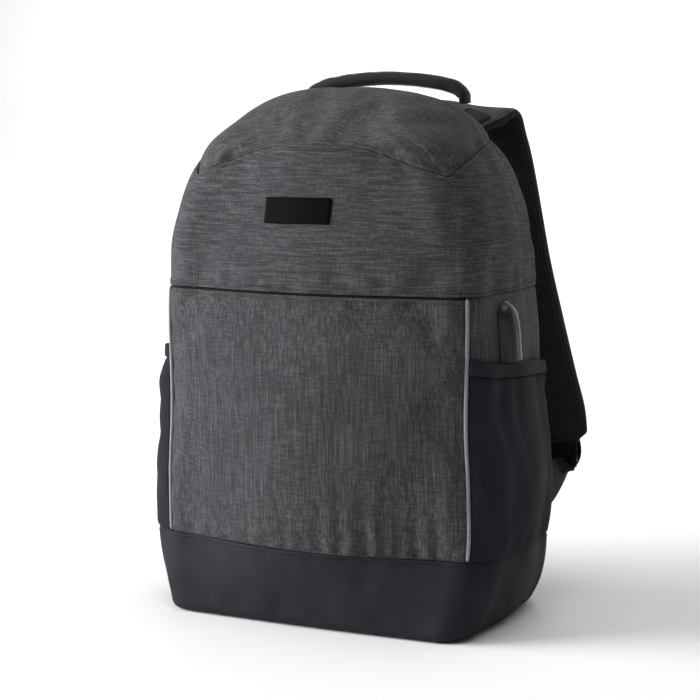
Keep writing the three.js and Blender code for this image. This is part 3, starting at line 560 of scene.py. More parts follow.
# Spacer mesh: rows of small round holes in a knitted face, with painted shade darkening each hole.
def air_mesh(name, colour, pitch=0.0032):
    shade = Shade(name)
    mapping = shade.coordinates((1 / pitch, 1 / pitch, 1.0), "UV")
    cells = shade.add("ShaderNodeTexVoronoi", voronoi_dimensions="2D", feature="F1")
    cells.inputs["Scale"].default_value = 1.0
    cells.inputs["Randomness"].default_value = 0.12
    shade.link(mapping, "Vector", cells, "Vector")
    fine = shade.noise((1500.0, 1500.0, 1500.0), 2.0, 0.6)
    drift = shade.noise((18.0, 18.0, 18.0), 3.0, 0.6)
    ring = shade.add("ShaderNodeMapRange", interpolation_type="SMOOTHSTEP")
    ring.inputs["From Min"].default_value = 0.2
    ring.inputs["From Max"].default_value = 0.42
    shade.link(cells, "Distance", ring, "Value")
    mixed = shade.math("ADD", shade.math("MULTIPLY", ring, 0.6), shade.math("MULTIPLY", fine, 0.2))
    total = shade.math("ADD", mixed, shade.math("MULTIPLY", drift, 0.2))
    # Painted shade: the ramp darkens each hole, darkest at its middle, where the knit is sunk.
    tint = shade.ramp(total, ((0.12, tuple(v * 0.3 for v in colour)), (0.55, colour),
                              (0.95, tuple(v * 1.9 for v in colour))))
    shade.link(tint, "Color", shade.surface, "Base Color")
    shade.bump(total, 0.8, 0.0009)
    shade.set(Roughness=0.85, Sheen_Weight=0.04, Sheen_Roughness=0.5, Specular_IOR_Level=0.08)
    return shade.material


# Ribbed webbing: cross ribs with a herringbone step.
def webbing_cloth(name, colour, rib=0.0016):
    shade = Shade(name)
    weave = sine_weave(shade, rib * 1.5, rib)
    both = shade.math("ADD", shade.math("MULTIPLY", weave[0], 0.35), shade.math("MULTIPLY", weave[1], 0.65))
    fine = shade.noise((1200.0, 1200.0, 1200.0), 2.0, 0.6)
    total = shade.math("ADD", shade.math("MULTIPLY", both, 0.25), fine)
    tint = shade.ramp(total, ((0.25, tuple(v * 0.5 for v in colour)), (0.8, tuple(v * 1.7 for v in colour))))
    shade.link(tint, "Color", shade.surface, "Base Color")
    shade.bump(total, 0.7, 0.0005)
    shade.set(Roughness=0.7, Sheen_Weight=0.03, Sheen_Roughness=0.4, Specular_IOR_Level=0.12)
    return shade.material


def moulded(name, colour, roughness=0.42):
    shade = Shade(name)
    grain = shade.noise((700.0, 700.0, 700.0), 3.0, 0.6)
    wear = shade.noise((60.0, 60.0, 60.0), 3.0, 0.6)
    total = shade.math("ADD", shade.math("MULTIPLY", grain, 0.5), shade.math("MULTIPLY", wear, 0.5))
    tint = shade.ramp(total, ((0.3, tuple(v * 0.7 for v in colour)), (0.7, tuple(v * 1.4 for v in colour))))
    shade.link(tint, "Color", shade.surface, "Base Color")
    rough = shade.math("ADD", shade.math("MULTIPLY", wear, 0.3), roughness - 0.15)
    shade.link(rough, "Value", shade.surface, "Roughness")
    shade.bump(grain, 0.25, 0.0002)
    shade.set(Specular_IOR_Level=0.3)
    return shade.material


def reflective(name):
    shade = Shade(name)
    weave = sine_weave(shade, 0.0009, 0.0009)
    both = shade.math("MULTIPLY", weave[0], weave[1])
    fine = shade.noise((800.0, 800.0, 800.0), 2.0, 0.6)
    total = shade.math("ADD", shade.math("MULTIPLY", both, 0.12), fine)
    tint = shade.ramp(total, ((0.3, (0.15, 0.16, 0.175)), (0.7, (0.26, 0.275, 0.3))))
    shade.link(tint, "Color", shade.surface, "Base Color")
    shade.bump(total, 0.4, 0.0003)
    shade.set(Roughness=0.42, Sheen_Weight=0.1, Specular_IOR_Level=0.3)
    return shade.material


MELANGE_FRONT = melange("melange_upright", "v")
MELANGE_UPPER = melange("melange_level", "h")
MELANGE_DOME = melange("melange_cap", "u", 1.0, 0.955)
MELANGE_STRAP = melange("melange_strap", "u", 1.35, 0.94)
POLYESTER = close_cloth("polyester", (0.021, 0.0215, 0.027), 0.62, 0.0007, 0.02, 0.05)
STRETCH = close_cloth("stretch_cloth", (0.019, 0.0195, 0.0245), 0.68, 0.0007, 0.01, 0.03)
HEM_CLOTH = close_cloth("hem_elastic", (0.02, 0.0205, 0.0255), 0.7, 0.0012, 0.01, 0.04)
HANDLE_CLOTH = close_cloth("handle_cloth", (0.017, 0.0182, 0.0182), 0.66, 0.0006, 0.08)
AIR_MESH = air_mesh("air_mesh", (0.019, 0.02, 0.0205))
BACK_MESH = air_mesh("back_mesh", (0.013, 0.0135, 0.0145), 0.004)
WEBBING = webbing_cloth("webbing", (0.016, 0.016, 0.0165))
TAB_WEBBING = webbing_cloth("tab_webbing", (0.0038, 0.004, 0.004))
BINDING = webbing_cloth("binding", (0.012, 0.0125, 0.0145), 0.0011)
ZIP_TAPE = webbing_cloth("zip_tape", (0.006, 0.006, 0.0065), 0.0009)
LABEL_CLOTH = close_cloth("label_cloth", (0.0022, 0.0012, 0.0012), 0.6, 0.0005, 0.0, 0.03)
RUBBER = moulded("port_rubber", (0.018, 0.0185, 0.022), 0.36)
PLASTIC = moulded("buckle_plastic", (0.008, 0.008, 0.0085), 0.4)
PIPING_CLOTH = reflective("piping_cloth")
THREAD = webbing_cloth("thread", (0.04, 0.041, 0.044), 0.0006)
DARK_THREAD = webbing_cloth("thread_dark", (0.012, 0.012, 0.014), 0.0006)


# Half the width of the open seam over the hidden zip: closed along the front, open at the shoulders.
def seam_gap(place):
    return 0.35 + 1.1 * smooth((-place - 1.3) / 0.25)


# How far inside the surface a sewn edge sinks, by its distance from the seam.
def seam_dip(distance, depth=1.3, reach=5.0):
    if distance >= reach:
        return 0.0
    return -depth * (1 - distance / reach) ** 2


# Slow hollows and swells of worn cloth.
def slack(point, size, amount, seed=0.0):
    p = Vector((point.x, point.y, point.z)) / size + Vector((seed, seed * 0.7, -seed))
    return amount * noise.noise(p)


def edge_rows(low, high, pitch):
    near = (0.0, 1.0, 2.4, 4.4)
    inner = steps(low + 7, high - 7, max(2, round((high - low - 14) / pitch)))
    return [low + d for d in near] + inner + [high - d for d in reversed(near)]


def seam_rows(levels):
    return [min(z - levels[0], levels[-1] - z) for z in levels]


# Base band
def base_band():
    levels = edge_rows(BASE_EDGE_RADIUS, BAND_HEIGHT - 0.15, 5.0)
    places = even_places(40, -5, 5, 5.0)[:-1]
    rows = []
    for share in (0.002, 0.3, 0.6, 0.85, 1.0):
        rows.append([body_point(0, p, BASE_EDGE_RADIUS) * share for p in places])
        for point in rows[-1]:
            point.z = 0.0
    for angle in (22, 45, 67):
        turn = math.radians(angle)
        height = BASE_EDGE_RADIUS * (1 - math.cos(turn))
        rows.append([body_point(height, p, BASE_EDGE_RADIUS * (1 - math.sin(turn))) for p in places])
    for z in levels:
        row = []
        for p in places:
            point = body_point(z, p)
            rise = (z - BASE_EDGE_RADIUS) / (BAND_HEIGHT - BASE_EDGE_RADIUS)
            relief = slack(point, 75, 1.2, 3.0) * smooth(rise * 4) + slack(point, 24, 0.3, 5.0) * smooth(rise * 3)
            relief += seam_dip(BAND_HEIGHT - z, 1.0)
            row.append(off_body(z, p, relief))
        rows.append(row)
    obj = grid_mesh("base_cloth", rows, closed=True)
    held = []
    for r, row in enumerate(rows):
        held += [1.0 if r < 9 or r == len(rows) - 1 else 0.0] * len(row)
    settle(obj, held, pressure=1.0, slack=0.003, cap=0.9, sink=0.4, bending=8.0)
    subdivide(obj)
    thicken(obj, 2.4)
    return finish_piece(obj, POLYESTER, "polyester", "base_band")


# The walls behind the pockets and the side panels between the pockets and the pocket seam.
def lower_panel():
    levels = edge_rows(BAND_HEIGHT + 0.15, POCKET_SEAM_HEIGHT - 0.15, 7.0)
    rows = []
    for z in levels:
        seam = piping_place(z)
        rear = moved_place(z, REAR_CORNER, -0.15)
        places = even_places(z, -rear, rear, 7.0)
        count = 105
        places = list(np.interp(np.linspace(0, 1, count), np.linspace(0, 1, len(places)), places))
        row = []
        for p in places:
            along = abs(p)
            edge = moved_place(z, seam, 3 * PIPING_RADIUS)
            groove = 2.6 * smooth((edge - along) / (edge - seam))
            across = smooth((seam - 0.1 - along) / 0.5)
            up = smooth((z - BAND_HEIGHT) / 40) * smooth((POCKET_SEAM_HEIGHT - z) / 30)
            depth = groove + (14 - 2.6) * across * up
            relief = seam_dip(POCKET_SEAM_HEIGHT - z, 1.0)
            if along > seam and z > 190:
                relief += slack(body_point(z, p), 40, 1.4, 1.0)
                relief -= 1.0 * bump(along, 2.75, 0.06) * smooth((z - 200) / 30)
            row.append(off_body(z, p, relief - depth))
        rows.append(row)
    obj = grid_mesh("side_cloth", rows)
    subdivide(obj)
    thicken(obj, 1.8)
    return finish_piece(obj, MELANGE_FRONT, "melange", "lower_panel")


# Upper panel
def upper_panel():
    count = 141
    rear = REAR_CORNER
    even = even_places(330, -rear, rear, 6.0)
    places = list(np.interp(np.linspace(0, 1, count), np.linspace(0, 1, len(even)), even))
    shares = [0, 0.008, 0.02, 0.038] + list(np.linspace(0.065, 0.935, 17)) + [0.962, 0.98, 0.992, 1]
    rows = []
    for share in shares:
        row = []
        for p in places:
            top = cap_seam(p) - seam_gap(p)
            low = POCKET_SEAM_HEIGHT + 0.15
            z = lerp(low, top, share)
            point = body_point(z, p)
            relief = seam_dip(z - low, 0.9) + seam_dip(top - z, 1.3)
            relief += slack(point, 70, 3.0, 2.0) + slack(point, 28, 0.8, 8.0)
            relief *= smooth(min(z - low, top - z) / 12) * 0.8 + 0.2
            fold = (p - 1.25) - (z - 284) * 0.0016
            relief -= 1.8 * bump(fold, 0.0, 0.13) * smooth((z - 300) / 30) * smooth((top - z) / 25)
            crease = (p - 2.72) + (z - 330) * 0.003
            relief -= 1.3 * bump(crease, 0.0, 0.05) * smooth((z - 296) / 20) * smooth((top - z) / 25)
            row.append(off_body(z, p, relief))
        rows.append(row)
    obj = grid_mesh("upper_cloth", rows)
    held = []
    for r, row in enumerate(rows):
        for c in range(len(row)):
            held.append(1.0 if r in (0, 1, len(rows) - 1, len(rows) - 2) or c in (0, len(row) - 1) else 0.0)
    settle(obj, held, pressure=1.2, slack=0.012, cap=2.6, sink=2.2, bending=2.0)
    subdivide(obj)
    thicken(obj, 1.8)
    return finish_piece(obj, MELANGE_UPPER, "melange", "upper_panel")


# Dome cap
def dome():
    places = even_places(400, -5, 5, 5.5)[:-1]
    rises = [0.0, 0.012, 0.03, 0.055] + list(np.linspace(0.09, 0.97, 22)) + [0.995]
    rows = []
    for rise in rises:
        row = []
        for p in places:
            along = abs(p)
            start = cap_seam(p) + (seam_gap(p) if along < REAR_CORNER else 0.45)
            z = lerp(start, BODY_HEIGHT - 0.02, math.sin(rise * math.pi / 2))
            point = body_point(z, p)
            away = (z - start) / max(0.2, math.cos(min(1.4, rise * 1.2)))
            relief = seam_dip(away, 1.2, 6.0)
            fade = smooth(rise * 5)
            relief += fade * (slack(point, 60, 2.2, 4.0) + slack(point, 26, 0.6, 6.0))
            ridge = math.sin(point.x / 7.5 - point.y / 5.5 + 2.2 * noise.noise(point / 40))
            relief += 0.5 * fade * ridge * smooth((point.x - 25) / 60) * smooth((449 - z) / 12)
            climb = (z / BODY_HEIGHT - 0.842) / 0.09
            fold = bump(along, lerp(1.38, 1.05, climb), 0.07) * smooth(climb * 6) * smooth((1.15 - climb) * 3)
            relief -= 1.9 * fold
            relief += 0.9 * bump(along, lerp(1.38, 1.05, climb) - 0.16, 0.1) * smooth(climb * 6) * smooth((1.15 - climb) * 3)
            row.append(off_body(z, p, relief) if rise < 0.98 else point)
        rows.append(row)
    obj = grid_mesh("cap_cloth", rows, closed=True)
    held = []
    for r, row in enumerate(rows):
        held += [1.0 if r < 2 or r == len(rows) - 1 else 0.0] * len(row)
    settle(obj, held, pressure=1.0, slack=0.012, cap=2.0, sink=2.2, bending=2.0)
    cover = obj.data
    last = [len(rows) * len(places) - len(places) + c for c in range(len(places))]
    import bmesh
    bm = bmesh.new()
    bm.from_mesh(cover)
    bm.verts.ensure_lookup_table()
    bmesh.ops.contextual_create(bm, geom=[bm.verts[i] for i in last])
    bm.to_mesh(cover)
    bm.free()
    layer = cover.uv_layers[0].data
    for loop in cover.loops:
        co = cover.vertices[loop.vertex_index].co
        layer[loop.index].uv = (0.2 * math.atan2(co.x, co.z - 0.25), co.y)
    subdivide(obj)
    thicken(obj, 1.8)
    return finish_piece(obj, MELANGE_DOME, "melange", "top_gusset")


# Front pocket
def front_pocket():
    levels = edge_rows(BAND_HEIGHT + 0.15, POCKET_TOP, 5.0)
    rows = []
    gathers = ((-96, 0.7), (-52, 0.8), (-14, 0.9), (20, 1.5), (36, 1.7), (57, 1.9), (73, 1.5), (84, 1.8), (99, 1.9),
               (116, 1.3))
    for z in levels:
        edge = moved_place(z, piping_place(z), -PIPING_RADIUS - 0.3)
        even = even_places(z, -edge, edge, 5.0)
        places = list(np.interp(np.linspace(0, 1, 67), np.linspace(0, 1, len(even)), even))
        row = []
        for p in places:
            point = body_point(z, p)
            low = z - BAND_HEIGHT
            relief = seam_dip(low, 1.2, 4) + seam_dip(POCKET_TOP - z, 1.0, 4)
            relief += seam_dip((edge - abs(p)) * 62, 1.0, 5)
            inner = smooth((edge - abs(p)) * 3)
            relief += inner * smooth(low / 15) * smooth((POCKET_TOP - z) / 20) * slack(point, 65, 3.0, 9.0)
            for x, depth in gathers:
                depth *= 2.3
                reach = 7 + 5.5 * depth
                bent = point.x - x - 2.5 * noise.noise(Vector((x, 0, z / 18)))
                relief -= depth * bump(bent, 0, 3.2 + low * 0.05) * math.exp(-low / reach) * smooth(low / 2)
                relief += 0.5 * depth * bump(bent, 7.5, 4) * math.exp(-low / reach) * smooth(low / 3)
            row.append(off_body(z, p, relief))
        rows.append(row)
    obj = grid_mesh("pocket_cloth", rows)
    held = []
    for r, row in enumerate(rows):
        for c in range(len(row)):
            border = r < 2 or r > len(rows) - 3 or c < 1 or c > len(row) - 2
            held.append(1.0 if border else 0.0)
    settle(obj, held, pressure=1.4, slack=0.02, cap=3.0, sink=2.0, bending=1.5)
    subdivide(obj)
    thicken(obj, 1.4)
    return finish_piece(obj, MELANGE_FRONT, "melange", "front_pocket")


def pocket_share(z, place):
    start = piping_place(z)
    return (place - start) / (REAR_CORNER - start)


def pocket_mouth(place):
    return SIDE_POCKET_TOP + SIDE_POCKET_FALL * (0.5 - pocket_share(SIDE_POCKET_TOP, place))


def pocket_stand_off(z, place):
    up = (z - BAND_HEIGHT) / (pocket_mouth(place) - BAND_HEIGHT)
    across = pocket_share(z, place)
    round_ = math.sin(math.pi * min(1.0, max(0.0, across))) ** 0.6
    fall = 0.55 + 0.45 * smooth((up - 0.1) / 0.5)
    fall *= 1 - 0.75 * smooth((across - 0.55) / 0.35) * (1 - smooth(up / 0.4))
    return 0.3 + SIDE_POCKET_BULGE * read(SIDE_POCKET_PROFILE, 1, up) * round_ * fall


def side_places(z, count):
    start = moved_place(z, piping_place(z), PIPING_RADIUS + 0.3)
    end = moved_place(z, REAR_CORNER, -0.15)
    even = even_places(z, start, end, 5.0)
    return list(np.interp(np.linspace(0, 1, count), np.linspace(0, 1, len(even)), even))


def side_pocket(side, sign):
    rows = []
    shares = [0, 0.007, 0.016, 0.03] + list(np.linspace(0.05, 0.95, 26)) + [0.97, 0.985, 1]
    for share in shares:
        places = side_places(lerp(BAND_HEIGHT, SIDE_POCKET_TOP - HEM_HEIGHT, share), 35)
        row = []
        for p in places:
            top = pocket_mouth(p) - HEM_HEIGHT - 0.3
            z = lerp(BAND_HEIGHT + 0.15, top, share)
            edge = min(p - places[0], places[-1] - p) * 70
            relief = 0.6 + seam_dip(z - BAND_HEIGHT, 1.2, 5) + seam_dip(edge, 1.2, 5) + seam_dip(top - z, 0.8, 4)
            point = body_point(z, p)
            free = smooth(edge / 20) * smooth((z - BAND_HEIGHT) / 15)
            relief += free * (slack(point, 38, 2.0, 11 + sign) + slack(point, 17, 0.6, 5 + sign))
            for at, wide, depth in ((2.05, 0.09, 1.5), (2.34, 0.07, 1.1), (2.8, 0.1, 1.3), (3.12, 0.07, 0.9)):
                shift = at + 0.03 * math.sin(z / 22 + at)
                relief -= depth * free * bump(p, shift, wide) * smooth((z - 120) / 60)
            if sign < 0:
                front_part = smooth((p - places[0]) * 5) * (1 - smooth((p - 2.6) / 0.6))
                relief += read(LEFT_FULLNESS, 1, z) * front_part
            row.append(off_body(z, sign * p, pocket_stand_off(z, p) + relief))
        rows.append(row)
    obj = grid_mesh(f"side_pocket_cloth_{side}", rows, flip=sign < 0)
    held = []
    for r, row in enumerate(rows):
        for c in range(len(row)):
            border = r < 2 or r == len(rows) - 1 or c < 1 or c > len(row) - 2
            held.append(1.0 if border else 0.0)
    settle(obj, held, pressure=0.5, slack=0.012, cap=0.8, sink=1.6, bending=1.5, frames=12)
    subdivide(obj)
    thicken(obj, 1.3)
    return finish_piece(obj, STRETCH, "stretch_cloth", f"side_pocket_{side}")


def pocket_hem(side, sign):
    places = side_places(SIDE_POCKET_TOP, 90)
    profile = [(-0.3, 0.5), (0.4, 1.9), (1.6, 2.4), (3.5, 2.2), (6.0, 2.35), (8.5, 2.2), (10.4, 2.45), (11.6, 1.9),
               (12.0, 1.1), (11.7, 0.4), (9.0, 0.1)]
    rows = []
    for up, out in profile:
        row = []
        for p in places:
            edge = smooth(min(p - places[0], places[-1] - p) * 40)
            z = pocket_mouth(p) - HEM_HEIGHT + up
            ripple = 0.16 * math.sin(p * 160) * edge if 1 < up < 11 else 0.0
            stand = pocket_stand_off(min(z, pocket_mouth(p)), p)
            sag = 0.4 * edge * noise.noise(Vector((p * 5, sign, up / 9)))
            end = 0.4 + 0.6 * smooth(min(p - places[0], places[-1] - p) * 25)
            row.append(off_body(z, sign * p, stand + out * end + ripple + sag))
        rows.append(row)
    obj = grid_mesh(f"pocket_hem_cloth_{side}", rows, flip=sign < 0)
    subdivide(obj)
    return finish_piece(obj, HEM_CLOTH, "stretch_cloth", f"pocket_hem_{side}")


# Back panel: padded mesh with a middle channel and soft cross channels
def back_panel():
    shares = [0, 0.004, 0.012, 0.022] + list(np.linspace(0.04, 0.96, 52)) + [0.978, 0.988, 0.996, 1]
    start = REAR_CORNER
    even = even_places(250, start, FULL_TURN - start, 5.5)
    places = list(np.interp(np.linspace(0, 1, 59), np.linspace(0, 1, len(even)), even))
    rows = []
    held = []
    for share in shares:
        row = []
        for p in places:
            top = cap_seam(p) - 0.15
            z = lerp(BAND_HEIGHT + 0.15, top, share)
            at = min(max(p, moved_place(z, start, 0.15)), FULL_TURN - moved_place(z, start, 0.15))
            point = body_point(z, at)
            side_edge = min(at - start, FULL_TURN - start - at) * 55
            end_edge = min(z - BAND_HEIGHT, top - z)
            middle = bump(point.x, 0, 7)
            flank = bump(abs(point.x), 92, 6) * smooth((z - 90) / 20)
            cross = max(bump(z, 165, 6), bump(z, 330, 6)) * smooth((abs(point.x) - 12) / 10)
            relief = 3.0 * smooth(min(side_edge, end_edge) / 16) - 4.5 * max(middle, flank, cross)
            relief += slack(point, 45, 1.2, 13.0)
            relief += seam_dip(end_edge, 1.2)
            row.append(off_body(z, at, relief))
            border = share < 0.005 or share > 0.995 or p in (places[0], places[-1])
            held.append(1.0 if border or max(middle, flank, cross) > 0.8 else 0.0)
        rows.append(row)
    obj = grid_mesh("back_pad", rows)
    settle(obj, held, pressure=3.0, slack=0.01, cap=3.5, sink=1.0, bending=2.0)
    subdivide(obj)
    thicken(obj, 6.0)
    finish_piece(obj, BACK_MESH, "air_mesh", "back_panel")
    return obj


# A round cord along points.
def cord_mesh(name, points, radius, sides=12):
    rows = []
    for i, point in enumerate(points):
        ahead = points[min(i + 1, len(points) - 1)] - points[max(i - 1, 0)]
        direction = ahead.normalized()
        a = direction.cross(Vector((0, 1, 0)))
        if a.length < 0.1:
            a = direction.cross(Vector((1, 0, 0)))
        a.normalize()
        b = direction.cross(a)
        size = radius * (1 if 0 < i < len(points) - 1 else 0.55)
        rows.append([point + (a * math.cos(t) + b * math.sin(t)) * size
                     for t in (2 * math.pi * k / sides for k in range(sides))])
    return grid_mesh(name, rows, closed=True)


def piping(side, sign):
    points = []
    for z in np.linspace(BAND_HEIGHT + 1.2, POCKET_SEAM_HEIGHT - 1.2, 74):
        points.append(off_body(z, sign * piping_place(z), 0.25 * noise.noise(Vector((z / 14, sign, 0)))))
    obj = cord_mesh(f"piping_cord_{side}", points, PIPING_RADIUS)
    return finish_piece(obj, PIPING_CLOTH, "piping", f"piping_{side}")


# Finds where a ray from outside meets a piece.
class Surface:
    def __init__(self, obj):
        mesh = obj.data
        self.tree = BVHTree.FromPolygons([v.co for v in mesh.vertices], [tuple(p.vertices) for p in mesh.polygons])

    def at(self, z, place, guess=12.0):
        normal = body_normal(z, place)
        origin = (body_point(z, place) + normal * guess) * MM
        hit = self.tree.ray_cast(origin, -normal, 0.03)
        if hit[0] is None:
            return body_point(z, place), normal
        return hit[0] / MM, (hit[1] if hit[1].dot(normal) > 0 else -hit[1])


# Rows of thread stitches, each a short spindle lying on the cloth.
def stitches(name, runs, material, slot, pitch=3.4, length=2.3, radius=0.28):
    verts = []
    faces = []
    sides = 6
    for run in runs:
        total = 0.0
        lengths = [0.0]
        for (a, _), (b, _) in zip(run, run[1:]):
            total += (b - a).length
            lengths.append(total)
        count = int(total / pitch)
        index = 0
        for k in range(count):
            s = (k + 0.5) * pitch
            while index < len(lengths) - 2 and lengths[index + 1] < s:
                index += 1
            span = lengths[index + 1] - lengths[index] or 1.0
            t = (s - lengths[index]) / span
            point = run[index][0].lerp(run[index + 1][0], t)
            normal = run[index][1].lerp(run[index + 1][1], t).normalized()
            along = (run[index + 1][0] - run[index][0]).normalized()
            side = along.cross(normal).normalized()
            first = len(verts)
            for u, r in ((-0.5, 0.15), (-0.32, 0.9), (0.0, 1.0), (0.32, 0.9), (0.5, 0.15)):
                arch = 0.22 * (1 - (2 * u) ** 2)
                middle = point + along * (u * length) + normal * (arch - 0.03)
                for j in range(sides):
                    angle = 2 * math.pi * j / sides
                    verts.append((middle + (side * math.cos(angle) + normal * math.sin(angle)) * radius * r) * MM)
            for ring in range(4):
                for j in range(sides):
                    n = (j + 1) % sides
                    a = first + ring * sides
                    faces.append((a + j, a + n, a + sides + n, a + sides + j))
    mesh = bpy.data.meshes.new(name)
    mesh.from_pydata([tuple(v) for v in verts], [], faces)
    mesh.uv_layers.new(name="cloth")
    mesh.polygons.foreach_set("use_smooth", [True] * len(faces))
    obj = bpy.data.objects.new(name, mesh)
    bpy.context.collection.objects.link(obj)
    return finish_piece(obj, material, slot)


def label(surface):
    width, height, thickness = 62.0, 22.0, 1.3
    columns = 32
    rows_n = 12
    corner = 1.6
    outer = []
    for i in range(rows_n + 1):
        row = []
        for j in range(columns + 1):
            u = -0.5 + j / columns
            v = -0.5 + i / rows_n
            x = u * width
            z = v * height
            over_x = max(0.0, abs(x) - (width / 2 - corner))
            over_z = max(0.0, abs(z) - (height / 2 - corner))
            reach = math.hypot(over_x, over_z)
            if over_x > 0 and over_z > 0 and reach > corner:
                x -= math.copysign(over_x * (1 - corner / reach), x)
                z -= math.copysign(over_z * (1 - corner / reach), z)
            edge = min(width / 2 - abs(x), height / 2 - abs(z))
            lift = thickness * (0.45 + 0.55 * smooth(edge / 1.1)) + 0.1
            lift -= 0.25 * bump(edge, 2.6, 0.7)
            section = outline(351.0 + z)
            at, normal = surface.at(351.0 + z, (x - 7.0) / (section[0] - section[4]))
            row.append(at + normal * lift)
        outer.append(row)
    obj = grid_mesh("label_cloth", outer)
    subdivide(obj)
    thicken(obj, 1.0)
    return finish_piece(obj, LABEL_CLOTH, "label", "label_patch")


# The rubber hood of the cable port: an arch that swells from a thin rim, open at its foot.
def usb_hood():
    bottom = pocket_mouth(PORT_PLACE - 0.1) + 0.9
    foot = body_point(bottom, PORT_PLACE)
    head = body_point(bottom + 50, PORT_PLACE)
    up = (head - foot).normalized()
    out = body_normal(bottom + 25, PORT_PLACE)
    along = up.cross(out).normalized()
    rows = []
    rim = []
    for t in steps(0, 1, 44):
        run = t * (2 * 36.5 + math.pi * 13.5)
        if run < 36.5:
            x, y = 13.5, run
        elif run > 36.5 + math.pi * 13.5:
            x, y = -13.5, 36.5 - (run - 36.5 - math.pi * 13.5)
        else:
            angle = (run - 36.5) / 13.5
            x, y = 13.5 * math.cos(angle), 36.5 + 13.5 * math.sin(angle)
        rim.append((x, y))
    profile = ((1.0, 0.9), (1.0, 1.9), (0.985, 2.6), (0.93, 3.0), (0.87, 3.2), (0.83, 4.6), (0.79, 7.2), (0.7, 9.6),
               (0.55, 11.2), (0.36, 12.1), (0.16, 12.4), (0.02, 12.4))
    for shrink, rise in profile:
        row = []
        for x, y in rim:
            centre_y = min(y, 36.5)
            px = x * shrink
            py = centre_y + (y - centre_y) * shrink
            fall = 1 - 0.35 * smooth((py - 22) / 34)
            high = 0.9 + (rise - 0.9) * fall
            row.append(foot + along * px + up * py + out * high)
        rows.append(row)
    obj = grid_mesh("port_hood", rows)
    subdivide(obj)
    thicken(obj, 0.9)
    return finish_piece(obj, RUBBER, "port_rubber", "usb_cover")


# Smooth curve through points, by the same rule for any number of them.
def spline(points, count):
    result = []
    total = len(points) - 1
    for i in range(count + 1):
        s = i / count * total
        k = min(int(s), total - 1)
        t = s - k
        p0 = points[k - 1] if k > 0 else points[0] * 2 - points[1]
        p1 = points[k]
        p2 = points[k + 1]
        p3 = points[k + 2] if k + 2 <= total else points[total] * 2 - points[total - 1]
        result.append(0.5 * ((2 * p1) + (p2 - p0) * t + (2 * p0 - 5 * p1 + 4 * p2 - p3) * t * t
                             + (3 * p1 - p0 - 3 * p2 + p3) * t ** 3))
    return result


def strap_stations(count=96):
    points = []
    for across, behind, height, _, _, _ in STRAP_ROUTE:
        z = height * BODY_HEIGHT
        points.append(Vector((across * BODY_WIDTH, outline(min(z, KNEE_HEIGHT))[3] + behind * STRAP_BOW, z)))
    line = spline(points, count)
    table = [(i / (len(STRAP_ROUTE) - 1), *row[3:]) for i, row in enumerate(STRAP_ROUTE)]
    stations = []
    for i, middle in enumerate(line):
        share = i / count
        direction = (line[min(i + 1, count)] - line[max(i - 1, 0)]).normalized()
        width = Vector((1, 0, -read(table, 3, share)))
        width = (width - direction * width.dot(direction)).normalized()
        out = width.cross(direction).normalized()
        half = read(table, 1, share) * STRAP_WIDTH / 2
        thick = read(table, 2, share) * STRAP_THICKNESS / 2
        stations.append((middle, direction, width, out, half, thick))
    return stations


STATIONS = strap_stations()


# The pad's pointed end, which the lock hangs from.
def pointed_end(station, length=14.0):
    middle, direction, width, out, half, thick = station
    rows = []
    for t in (0.2, 0.4, 0.6, 0.8, 0.93, 1.0):
        shut = 0.15 if t == 1.0 else 1 - 0.3 * t
        rows.append((middle + direction * (length * t), direction, width, out, half * (1 - 0.8 * t), thick * shut))
    return rows


PAD_STATIONS = STATIONS + pointed_end(STATIONS[-1])


def swell(across):
    a = abs(across)
    return 0.42 + 0.58 * max(0.0, 1 - a ** 5) ** 0.5


def strap_point(station, across, side, beyond):
    middle, _, width, out, half, thick = station
    return middle + width * (across * half) + out * (side * (thick * swell(across) + beyond))


def dome_back(x, z):
    half, _, _, back, _, radius = outline(min(z, BODY_HEIGHT - 1))
    beyond = min(radius, max(0.0, abs(x) - (half - radius)))
    return back - radius + math.sqrt(max(0.0, radius ** 2 - beyond ** 2))


def mirror(point, sign):
    return Vector((sign * point.x, point.y, point.z))


